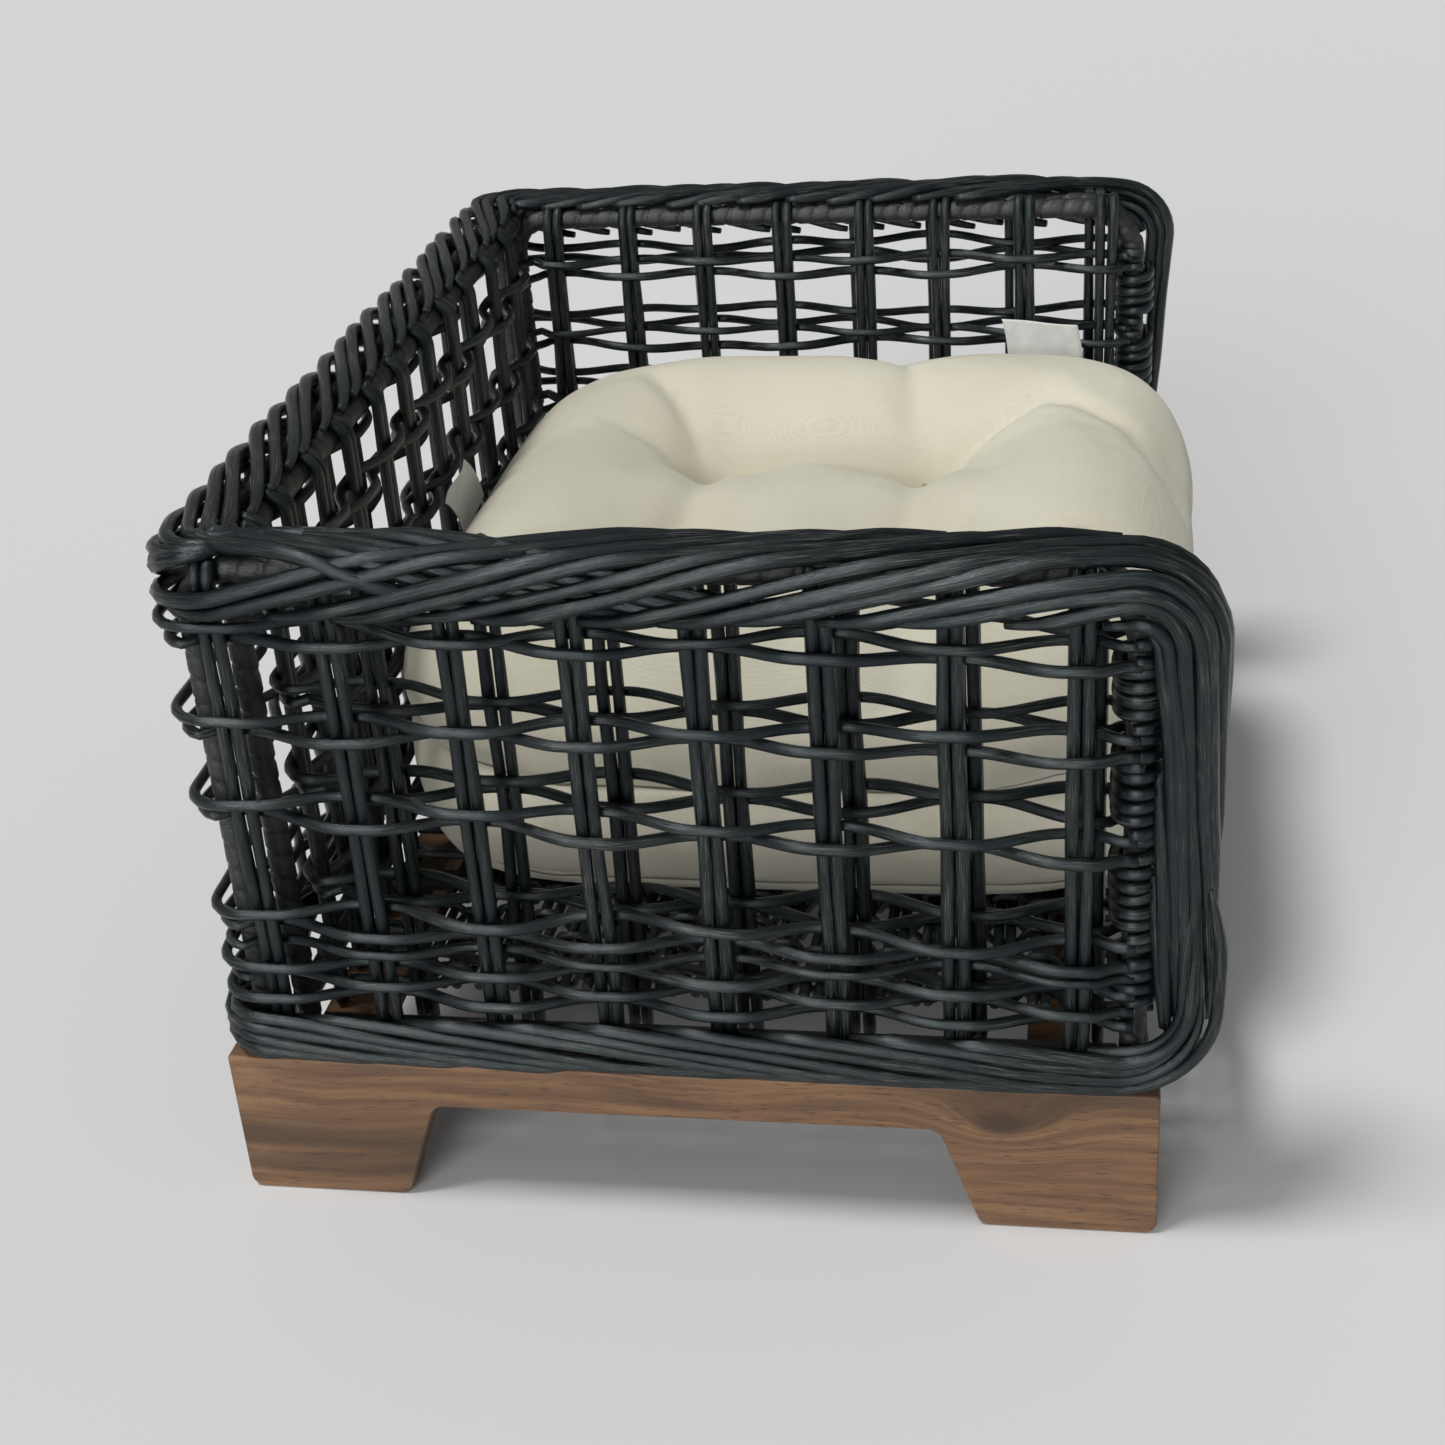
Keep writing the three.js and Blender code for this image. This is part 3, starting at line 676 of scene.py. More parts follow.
class RodBundle:
    """Rods gathered into one mesh, each a closed tube with slightly domed ends."""

    CAP_RADII = (0.0, 0.55, 0.9)
    CAP_REACH = (0.0, 0.02, 0.20)

    def __init__(self, seed: int, sides: int = 8) -> None:
        """Starts an empty bundle.

        Args:
            seed: seed of the chance in the rods' thickness and shade.
            sides: faces round a rod.
        """
        self.rng = np.random.default_rng(seed)
        self.sides = sides
        self.count = 0
        self.vertices: list[np.ndarray] = []
        self.loops: list[np.ndarray] = []
        self.sizes: list[np.ndarray] = []
        self.uvs: list[np.ndarray] = []
        self.shades: list[np.ndarray] = []
        self.cuts: list[np.ndarray] = []

    def add(self, path: np.ndarray, side: np.ndarray | Sequence[float], radius: np.ndarray | float,
            shade: float | None = None, uneven: float = 0.05, cut: float = 1.0) -> None:
        """Adds one rod: a ring of points round each point of its path, and a cap at each end.

        Args:
            path: points of its centre line.
            side: a direction across the path, one or one for each point.
            radius: its radius, one number, one for each point, or one for each point and side.
            shade: its own shade from 0 to 1, drawn by chance if left out.
            uneven: how far its thickness strays, as a share of the radius.
            cut: how far its end faces show a pale cut, from 0 to 1.
        """
        path = np.asarray(path, dtype=float)
        along = np.gradient(path, axis=0)
        along /= np.linalg.norm(along, axis=1, keepdims=True)
        first = np.broadcast_to(np.asarray(side, dtype=float), path.shape)
        first = first - along * np.sum(first * along, axis=1, keepdims=True)
        first = first / np.linalg.norm(first, axis=1, keepdims=True)
        second = np.cross(along, first)
        steps = np.linalg.norm(np.diff(path, axis=0), axis=1)
        lengths = np.concatenate([[0.0], np.cumsum(steps)])
        radii = np.asarray(radius, dtype=float)
        radii = np.broadcast_to(radii[..., None] if radii.ndim < 2 else radii, (len(path), self.sides))
        radii = radii * (1 + wander(self.rng, lengths, 0.035, uneven))[:, None]
        centres, reach_first, reach_second, sizes, cuts, run = self._with_caps(
            path, along, first, second, radii, lengths, cut)
        angles = np.arange(self.sides) * (math.tau / self.sides)
        rings = (centres[:, None, :]
                 + (sizes * np.cos(angles))[..., None] * reach_first[:, None, :]
                 + (sizes * np.sin(angles))[..., None] * reach_second[:, None, :])
        self._store(rings, run, cuts, self.rng.random() if shade is None else shade)

    def _with_caps(self, path: np.ndarray, along: np.ndarray, first: np.ndarray, second: np.ndarray,
                   radii: np.ndarray, lengths: np.ndarray, cut: float) -> tuple[np.ndarray, ...]:
        """The rod's rings with those of its two end caps added before and after.

        Args:
            path: the rod's centre line.
            along: its directions.
            first: one axis across it.
            second: the other axis across it.
            radii: its radius at each point and side.
            lengths: the distance of each point along it.
            cut: the mark its end caps carry for a cut end.

        Returns:
            The rings' centres, two axes, radii, cut marks and distances.
        """
        shares = np.array(self.CAP_RADII[1:])
        reach = np.array(self.CAP_REACH[1:])[::-1]
        head = path[:1] - along[:1] * (radii[0].mean() * reach[:, None])
        tail = path[-1:] + along[-1:] * (radii[-1].mean() * reach[::-1, None])
        centres = np.vstack([head, path, tail])
        count = len(shares)
        repeat = np.concatenate([np.zeros(count, int), np.arange(len(path)), np.full(count, len(path) - 1)])
        sizes = radii[repeat]
        sizes = sizes * np.concatenate([shares, np.ones(len(path)), shares[::-1]])[:, None]
        cuts = np.concatenate([np.full(count, cut), np.zeros(len(path)), np.full(count, cut)])
        return centres, first[repeat], second[repeat], sizes, cuts, lengths[repeat]

    def _store(self, rings: np.ndarray, run: np.ndarray, cuts: np.ndarray, shade: float) -> None:
        """Adds the rings' points, their quads and the two end faces to the bundle.

        Args:
            rings: the points, by ring and by side.
            run: the distance of each ring along the rod.
            cuts: the cut mark of each ring.
            shade: the rod's own tone.
        """
        count, sides = rings.shape[:2]
        base = self.count
        ring = np.arange(count - 1)[:, None]
        column = np.arange(sides)[None, :]
        after = (column + 1) % sides
        quads = np.stack([ring * sides + column, ring * sides + after,
                          (ring + 1) * sides + after, (ring + 1) * sides + column], axis=-1)
        bottom = np.arange(sides)[::-1]
        top = (count - 1) * sides + np.arange(sides)
        self.vertices.append(rings.reshape(-1, 3))
        self.loops.append(np.concatenate([quads.ravel(), bottom, top]) + base)
        self.sizes.append(np.concatenate([np.full(quads.size // 4, 4), [sides, sides]]))
        scale = 1 / (20 * MM)
        u = np.broadcast_to((run * scale)[:, None], (count, sides))
        low, high = u[:-1], u[1:]
        v = np.broadcast_to(np.arange(sides) / sides, low.shape)
        w = v + 1 / sides
        quad_uv = np.stack([np.stack([low, v], -1), np.stack([low, w], -1),
                            np.stack([high, w], -1), np.stack([high, v], -1)], axis=2)
        ends = np.zeros((2 * sides, 2))
        ends[sides:, 0] = run[-1] * scale
        self.uvs.append(np.concatenate([quad_uv.reshape(-1, 2), ends]))
        self.shades.append(np.full(count * sides, shade))
        self.cuts.append(np.repeat(cuts, sides))
        self.count += count * sides

    def build(self, name: str) -> bpy.types.Object:
        """The bundle as one object.

        Args:
            name: the object's name.

        Returns:
            The object, linked to the scene.
        """
        mesh = bpy.data.meshes.new(name)
        fill_mesh(mesh, np.concatenate(self.vertices), np.concatenate(self.loops),
                  np.concatenate(self.sizes))
        layer = mesh.uv_layers.new(name="rod")
        layer.uv.foreach_set("vector", np.concatenate(self.uvs).ravel())
        for key, data in (("shade", self.shades), ("cut", self.cuts)):
            mesh.attributes.new(key, "FLOAT", "POINT").data.foreach_set("value", np.concatenate(data))
        return link_object(name, mesh)


def fill_mesh(mesh: bpy.types.Mesh, vertices: np.ndarray, loops: np.ndarray, sizes: np.ndarray) -> None:
    """Puts points and faces into an empty mesh and shades it smooth.

    Args:
        mesh: the mesh.
        vertices: its points.
        loops: the faces' corners, one face after another.
        sizes: how many corners each face has.
    """
    starts = np.concatenate([[0], np.cumsum(sizes)[:-1]]).astype(np.int32)
    mesh.vertices.add(len(vertices))
    mesh.vertices.foreach_set("co", np.ascontiguousarray(vertices, dtype=np.float32).ravel())
    mesh.loops.add(len(loops))
    mesh.polygons.add(len(sizes))
    mesh.polygons.foreach_set("loop_start", starts)
    mesh.polygons.foreach_set("vertices", np.ascontiguousarray(loops, dtype=np.int32))
    mesh.update(calc_edges=True)
    mesh.validate()
    mesh.shade_smooth()


def link_object(name: str, mesh: bpy.types.Mesh) -> bpy.types.Object:
    """A new object of this mesh in the scene.

    Args:
        name: the object's name.
        mesh: its mesh.

    Returns:
        The linked object.
    """
    piece = bpy.data.objects.new(name, mesh)
    bpy.context.scene.collection.objects.link(piece)
    return piece


def grid_mesh(name: str, points: np.ndarray, closed: bool) -> bpy.types.Object:
    """A closed surface from rings of points: quads between rings and one face at each end.

    Args:
        name: the object's name.
        points: rings x columns x 3, with the columns going once round.
        closed: join the last ring to the first instead of closing both ends.

    Returns:
        The object.
    """
    rings, columns = points.shape[:2]
    ring = np.arange(rings if closed else rings - 1)[:, None]
    column = np.arange(columns)[None, :]
    after = (column + 1) % columns
    upper = (ring + 1) % rings
    quads = np.stack([ring * columns + column, ring * columns + after,
                      upper * columns + after, upper * columns + column], axis=-1)
    loops, sizes = [quads.ravel()], [np.full(quads.size // 4, 4)]
    if not closed:
        loops += [np.arange(columns)[::-1], (rings - 1) * columns + np.arange(columns)]
        sizes += [np.array([columns, columns])]
    mesh = bpy.data.meshes.new(name)
    fill_mesh(mesh, points.reshape(-1, 3), np.concatenate(loops), np.concatenate(sizes))
    return link_object(name, mesh)


class Workshop:
    """Registers finished pieces with the frame and keeps the materials."""

    def __init__(self) -> None:
        """Makes every finish once."""
        finishes = {
            Slot.WICKER: WickerFinish(), Slot.POLE: PoleFinish(), Slot.WOOD: WoodFinish(),
            Slot.STEEL: SteelFinish(), Slot.CLOTH: ClothFinish(), Slot.LABEL: SatinFinish(),
            Slot.THREAD: ThreadFinish(),
        }
        self.materials = {slot: finish.material() for slot, finish in finishes.items()}

    def hand_over(self, piece: bpy.types.Object, slot: Slot, body: Body, *nodes: str) -> None:
        """Dresses a piece, sets it on its body and lets it stand for its nodes.

        Args:
            piece: the finished piece.
            slot: the material slot it takes its finish from.
            body: the body it rides on.
            nodes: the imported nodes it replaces.
        """
        piece.data.materials.clear()
        piece.data.materials.append(self.materials[slot])
        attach(piece, body.value)
        if nodes:
            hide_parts(*nodes)
        LOG.info("%s: %d faces", piece.name, len(piece.data.polygons))

    def paint_node(self, name: str, slot: Slot) -> None:
        """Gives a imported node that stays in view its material.

        Args:
            name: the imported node.
            slot: the material slot it takes.
        """
        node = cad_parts[name]
        node.data.materials.clear()
        node.data.materials.append(self.materials[slot])
        LOG.info("%s: packed node painted", name)


# ---- where the frame puts things ----------------------------------------------------------------
def middle(node: str, axis: int) -> float:
    """Middle of a node's box along one axis."""
    low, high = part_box(node)
    return (low[axis] + high[axis]) / 2


@dataclass(frozen=True)
class Layout:
    """The basket's planes, rails and posts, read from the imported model."""

    outer_x: float = middle("outer_weave_right", 0)
    outer_y: float = middle("outer_weave_back", 1)
    inner_x: float = middle("inner_weave_right", 0)
    inner_y: float = middle("inner_weave_back", 1)
    outer_rail_x: float = middle("outer_hoop_right", 0)
    outer_rail_y: float = middle("back_rail_outer", 1)
    inner_rail_x: float = middle("inner_hoop_right", 0)
    inner_rail_y: float = middle("back_rail_inner", 1)
    rail_z: float = middle("back_rail_outer", 2)
    post_y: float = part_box("outer_hoop_left")[0][1] + (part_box("outer_hoop_left")[1][0]
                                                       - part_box("outer_hoop_left")[0][0]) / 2
    pole: float = (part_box("outer_hoop_left")[1][0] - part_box("outer_hoop_left")[0][0]) / 2
    foot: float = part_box("outer_hoop_left")[0][2]


@dataclass(frozen=True)
class PairPlan:
    """Where the pairs of stakes stand along the walls."""

    end_count: int = 8
    back_count: int = 10
    left_first: float = -169.8 * MM
    left_pitch: float = 52.4 * MM
    right_first: float = -170.0 * MM
    right_pitch: float = 49.5 * MM
    back_pitch: float = 46.6 * MM
    gap: float = 3.05 * MM

    def left(self) -> np.ndarray:
        """Y of the pairs on the left wall, front to back."""
        return self.left_first + self.left_pitch * np.arange(self.end_count)

    def back(self) -> np.ndarray:
        """X of the pairs on the back wall, left to right."""
        return self.back_pitch * (np.arange(self.back_count) - (self.back_count - 1) / 2)

    def right(self) -> np.ndarray:
        """Y of the pairs on the right wall, back to front."""
        return (self.right_first + self.right_pitch * np.arange(self.end_count))[::-1]


@dataclass(frozen=True)
class WallLine:
    """One layer of the wall seen from above: left wall, back wall, right wall."""

    x: float
    y: float
    corner: float
    start_y: float

    def route(self, z: float) -> Route:
        """The layer's line at one height, from the front of the left wall to that of the right.

        Args:
            z: the height of the line.

        Returns:
            The layer's line.
        """
        straight = self.y - self.corner - self.start_y
        arc = self.corner * math.pi / 2
        return Route((-self.x, self.start_y, z), 90.0, 0.0, (
            Leg(straight, 90.0), Leg(arc, 0.0), Leg(2 * (self.x - self.corner), 0.0),
            Leg(arc, -90.0), Leg(straight, -90.0)))

    def places(self, pairs: PairPlan, shift: float) -> tuple[np.ndarray, np.ndarray, np.ndarray]:
        """Distance along the line of the pairs on each wall.

        Args:
            pairs: where the pairs stand.
            shift: how far this layer's end wall pairs are moved towards the front.

        Returns:
            The distances for the left, back and right wall.
        """
        straight = self.y - self.corner - self.start_y
        arc = self.corner * math.pi / 2
        left = pairs.left() - shift - self.start_y
        back = straight + arc + pairs.back() + self.x - self.corner
        total = 2 * (straight + arc + self.x - self.corner)
        right = total - (pairs.right() - shift - self.start_y)
        return left, back, right[np.argsort(right)]


# ---- woven walls --------------------------------------------------------------------------------
@dataclass
class WovenLayer:
    """One layer of the open woven wall: pairs of stakes, and rows of two weavers each."""

    name: str
    line: WallLine
    rail_out: float
    layout: Layout
    seed: int
    pairs: PairPlan = field(default_factory=PairPlan)
    pair_shift: float = 0.0
    stake_radius: float = 3.05 * MM
    weaver_radius: float = 2.7 * MM
    row_half: float = 4.3 * MM
    flat: float = 6.0 * MM
    rows: tuple[tuple[float, float], ...] = ((149, 156), (202, 214), (251, 255), (294, 298))
    dense: tuple[float, ...] = (113.5, 121.5, 129.5, 138.0)
    hook: float = 100.0
    stake_foot: float = 80.5 * MM

    def stakes(self, shop: Workshop) -> None:
        """Stakes: each rises along its pair and bends over the rail, wall by wall.

        Args:
            shop: where the finished pieces go.
        """
        route = self.line.route(0.0)
        walls = zip(("left", "back", "right"), self.line.places(self.pairs, self.pair_shift))
        reach = abs(self.rail_out)
        sign = math.copysign(1.0, self.rail_out)
        top = self.layout.rail_z
        for index, (wall, places) in enumerate(walls):
            bundle = RodBundle(self.seed + index)
            for place in places:
                lean = bundle.rng.normal(0.0, 1.0 * MM)
                for step in (-1, 1):
                    self._stake(bundle, route, place + step * self.pairs.gap, lean, reach, sign, top)
            node = f"{self.name}_weave_{wall}"
            shop.hand_over(bundle.build(f"{self.name}_stakes_{wall}"), Slot.WICKER, Body.BASKET, node)

    def _stake(self, bundle: RodBundle, route: Route, place: float, lean: float, reach: float,
               sign: float, top: float) -> None:
        """One stake: a straight rise with a little sway, then an arc round the rail.

        Args:
            bundle: the rods that the new one joins.
            route: the layer's line.
            place: the distance along the line where it stands.
            lean: how far its top leans along the line.
            reach: the radius of its bend over the rail.
            sign: 1 where the rail is outside the layer, -1 where it is inside.
            top: the height of the rail's centre.
        """
        rise = np.linspace(self.stake_foot, top - 2.5 * MM, 34)
        hook = np.radians(np.linspace(0.0, self.hook + bundle.rng.uniform(-8, 8), 9)[1:])
        out = np.concatenate([np.zeros_like(rise), sign * reach * (1 - np.cos(hook))])
        height = np.concatenate([rise, top - 2.5 * MM + reach * np.sin(hook)])
        sway = wander(bundle.rng, height, 0.06, 0.45 * MM)
        tilt = lean * np.clip((height - self.stake_foot) / (top - self.stake_foot), 0, 1)
        spots = np.full_like(height, place) + sway + tilt
        path = route.at(spots, out + wander(bundle.rng, height, 0.05, 0.25 * MM), 0.0)
        path[:, 2] = height
        side = route.read(route.along, spots)
        radius = self.stake_radius * (1 + bundle.rng.normal(0, 0.03))
        bundle.add(path, side, radius)

    def weavers(self, shop: Workshop) -> None:
        """Weavers: rows of two that pass in and out of the pairs in opposite order.

        Args:
            shop: where the finished pieces go.
        """
        bundle = RodBundle(self.seed + 7)
        left, back, right = self.line.places(self.pairs, self.pair_shift)
        turn = self.line.y - self.line.corner - self.line.start_y + self.line.corner * math.pi / 4
        route = self.line.route(0.0)
        centres = np.concatenate([[0.0], left, [turn], back, [route.length - turn], right,
                                  [route.length]])
        order = -np.ones(centres.size)
        order[np.arange(centres.size) % 2 == 0] = 1.0
        corners = [left.size + 1, left.size + back.size + 2]
        depth = self.stake_radius + self.weaver_radius
        for front, rear in self.rows:
            for upper in (True, False):
                levels = self._levels(order, corners, upper)
                height = self._heights(route, front, rear, bundle) + (
                    self.row_half if upper else -self.row_half)
                self._weaver(bundle, route, centres, levels * depth, height)
        for index, level in enumerate(self.dense):
            levels = self._levels(order, corners, index % 2 == 0)
            height = self._heights(route, level, level + 1.0, bundle, 0.5 * MM)
            self._weaver(bundle, route, centres, levels * depth, height)
        nodes = [f"{self.name}_weave_{wall}" for wall in ("left", "back", "right")]
        shop.hand_over(bundle.build(f"{self.name}_weavers"), Slot.WICKER, Body.BASKET, *nodes)

    @staticmethod
    def _levels(order: np.ndarray, corners: Sequence[int], upper: bool) -> np.ndarray:
        """In or out at each pair: both weavers of a row pass outside the corners and the ends.

        Args:
            order: 1 and -1 by turns at the places along the layer.
            corners: the numbers of the two corners' places.
            upper: whether it is the upper weaver of its row.

        Returns:
            The level at each place, from 1 outside the pair to -1 inside it.
        """
        levels = order if upper else -order
        levels = levels.copy()
        levels[list(corners)] = 0.95 if upper else 0.35
        levels[[0, -1]] = 0.05
        return levels

    @staticmethod
    def _heights(route: Route, front: float, rear: float, bundle: RodBundle,
                 stray: float = 1.6 * MM) -> np.ndarray:
        """Height of a row: level along the back, running to the front heights on both ends.

        Args:
            route: the layer's line.
            front: the height at both fronts.
            rear: the height along the back.
            bundle: the rods, for their random numbers.
            stray: how far the row wanders up and down.

        Returns:
            A height for each point of the route.
        """
        bends = route.ends[[0, 1, 4, 5]]
        base = np.interp(route.lengths, bends, [front, rear, rear, front]) * MM
        return base + wander(bundle.rng, route.lengths, 0.07, stray)

    def _weaver(self, bundle: RodBundle, route: Route, centres: np.ndarray, levels: np.ndarray,
                height: np.ndarray) -> None:
        """One weaver right round the layer.

        Args:
            bundle: the rods that the new one joins.
            route: the layer's line.
            centres: the distances of the pairs along it.
            levels: in or out at each pair.
            height: the weaver's height at each point of the route.
        """
        lengths = np.arange(0.0, route.length, 4.0 * MM)
        swing = plateaus(lengths, centres, levels, self.flat)
        swing = swing + wander(bundle.rng, lengths, 0.04, 0.25 * MM)
        path = route.at(lengths, swing, 0.0)
        path[:, 2] = np.interp(lengths, route.lengths, height)
        bundle.add(path, (0.0, 0.0, 1.0), self.weaver_radius * (1 + bundle.rng.normal(0, 0.05)))


# ---- borders ------------------------------------------------------------------------------------
@dataclass(frozen=True)
class Section:
    """How a border rod moves across the border as it runs: (outward, crown) at shares of its run."""

    shares: tuple[float, ...]
    outs: tuple[float, ...]
    crowns: tuple[float, ...]

    def at(self, share: np.ndarray) -> tuple[np.ndarray, np.ndarray]:
        """Outward and crown offsets at these shares, in metres."""
        return (np.interp(share, self.shares, self.outs) * MM,
                np.interp(share, self.shares, self.crowns) * MM)


@dataclass
class BorderRope:
    """A border of many short rods: each starts tucked in, crosses the border slowly and ends tucked.

    A clock runs along the route at a rate that varies, a rod lasts one unit of it, and a new rod
    starts each time the clock has run one part in so many. Where a rod is across the border
    follows from how much of its unit has run. Near its ends a rod is drawn inward by the tuck, in
    metres, and down to the line by the pull, a share.
    """

    route: Route
    sections: tuple[tuple[float, Section], ...]
    rates: tuple[tuple[float, float], ...]
    crowd: float
    radius: float
    tuck: float = 0.0
    pull: float = 0.0

    def __post_init__(self) -> None:
        """Runs the clock along the route."""
        places, runs = zip(*self.rates)
        rate = 1.0 / np.interp(self.route.lengths, places, runs)
        step = self.route.lengths[1] - self.route.lengths[0]
        self.clock = np.cumsum(rate) * step

    def family(self, bundle: RodBundle, first: float, last: float, direction: int,
               low: float, high: float, ragged: float = 0.0,
               hurry: tuple[float, float] | None = None) -> None:
        """A run of rods that all start in one stretch and go the same way.

        Args:
            bundle: where the rods go.
            first: distance along the route where the first rod starts.
            last: where the last one may start.
            direction: +1 towards the end of the route, -1 towards its start.
            low: rods are cut off before this distance.
            high: rods are cut off after this distance.
            ragged: how far the cut ends stray from those distances.
            hurry: a distance, and the half span round it, over which rods cross to the inner side.
        """
        lengths = self.route.lengths
        begin, end = np.interp([first, last], lengths, self.clock)
        for tick in np.arange(begin, end, 1.0 / self.crowd):
            tick += bundle.rng.uniform(-0.18, 0.18) / self.crowd
            ends = np.array([tick, tick + direction])
            spare = ragged * bundle.rng.random()
            spots = np.clip(np.interp(ends, self.clock, lengths), low + spare, high - spare)
            count = int(abs(spots[1] - spots[0]) / (5.0 * MM)) + 2
            if count < 8:
                continue
            self._rod(bundle, np.linspace(spots[0], spots[1], count), tick, direction, hurry)

    def _rod(self, bundle: RodBundle, lengths: np.ndarray, tick: float, direction: int,
             hurry: tuple[float, float] | None) -> None:
        """One rod, its offsets blended between the sections along the route.

        Args:
            bundle: the rods that the new one joins.
            lengths: the distances along the route that it covers.
            tick: the clock where the rod starts.
            direction: 1 or -1, the way it runs along the route.
            hurry: where it crosses to the inner side, as for a family.
        """
        share = direction * (np.interp(lengths, self.route.lengths, self.clock) - tick)
        share = np.clip(share, 0.0, 1.0)
        if hurry is not None:
            place, span = hurry
            passed = np.clip((place + span - lengths) / (2 * span), 0.0, 1.0)
            share = np.maximum(share, 0.88 * passed * passed * (3 - 2 * passed))
        places = [place for place, _ in self.sections]
        out = np.zeros_like(lengths)
        crown = np.zeros_like(lengths)
        for index, (_, section) in enumerate(self.sections):
            peak = np.zeros(len(places))
            peak[index] = 1.0
            weight = np.interp(lengths, places, peak)
            section_out, section_crown = section.at(share)
            out += weight * section_out
            crown += weight * section_crown
        kernel = np.ones(5) / 5
        out = self._soften(out, kernel) + wander(bundle.rng, lengths, 0.05, 0.55 * MM)
        crown = self._soften(crown, kernel) + wander(bundle.rng, lengths, 0.05, 0.55 * MM)
        run = np.abs(lengths - lengths[0])
        close = np.minimum(run, run[::-1])
        taper = np.minimum(1.0, 0.55 + close / (26 * MM) * 0.45)
        tuck = np.clip(1 - close / (34 * MM), 0.0, 1.0) ** 1.5
        path = self.route.at(lengths, out - self.tuck * tuck, crown * (1 - self.pull * tuck))
        side = self.route.read(self.route.outward, lengths)
        radius = self.radius * taper * (1 + bundle.rng.normal(0, 0.05))
        bundle.add(path, side, radius, cut=0.5)

    @staticmethod
    def _soften(values: np.ndarray, kernel: np.ndarray) -> np.ndarray:
        """Running mean with the ends held.

        Args:
            values: the numbers in order.
            kernel: the weights of the mean, which add up to 1.

        Returns:
            The softened numbers.
        """
        reach = kernel.size // 2
        padded = np.pad(values, reach, mode="edge")
        return np.convolve(padded, kernel, mode="valid")


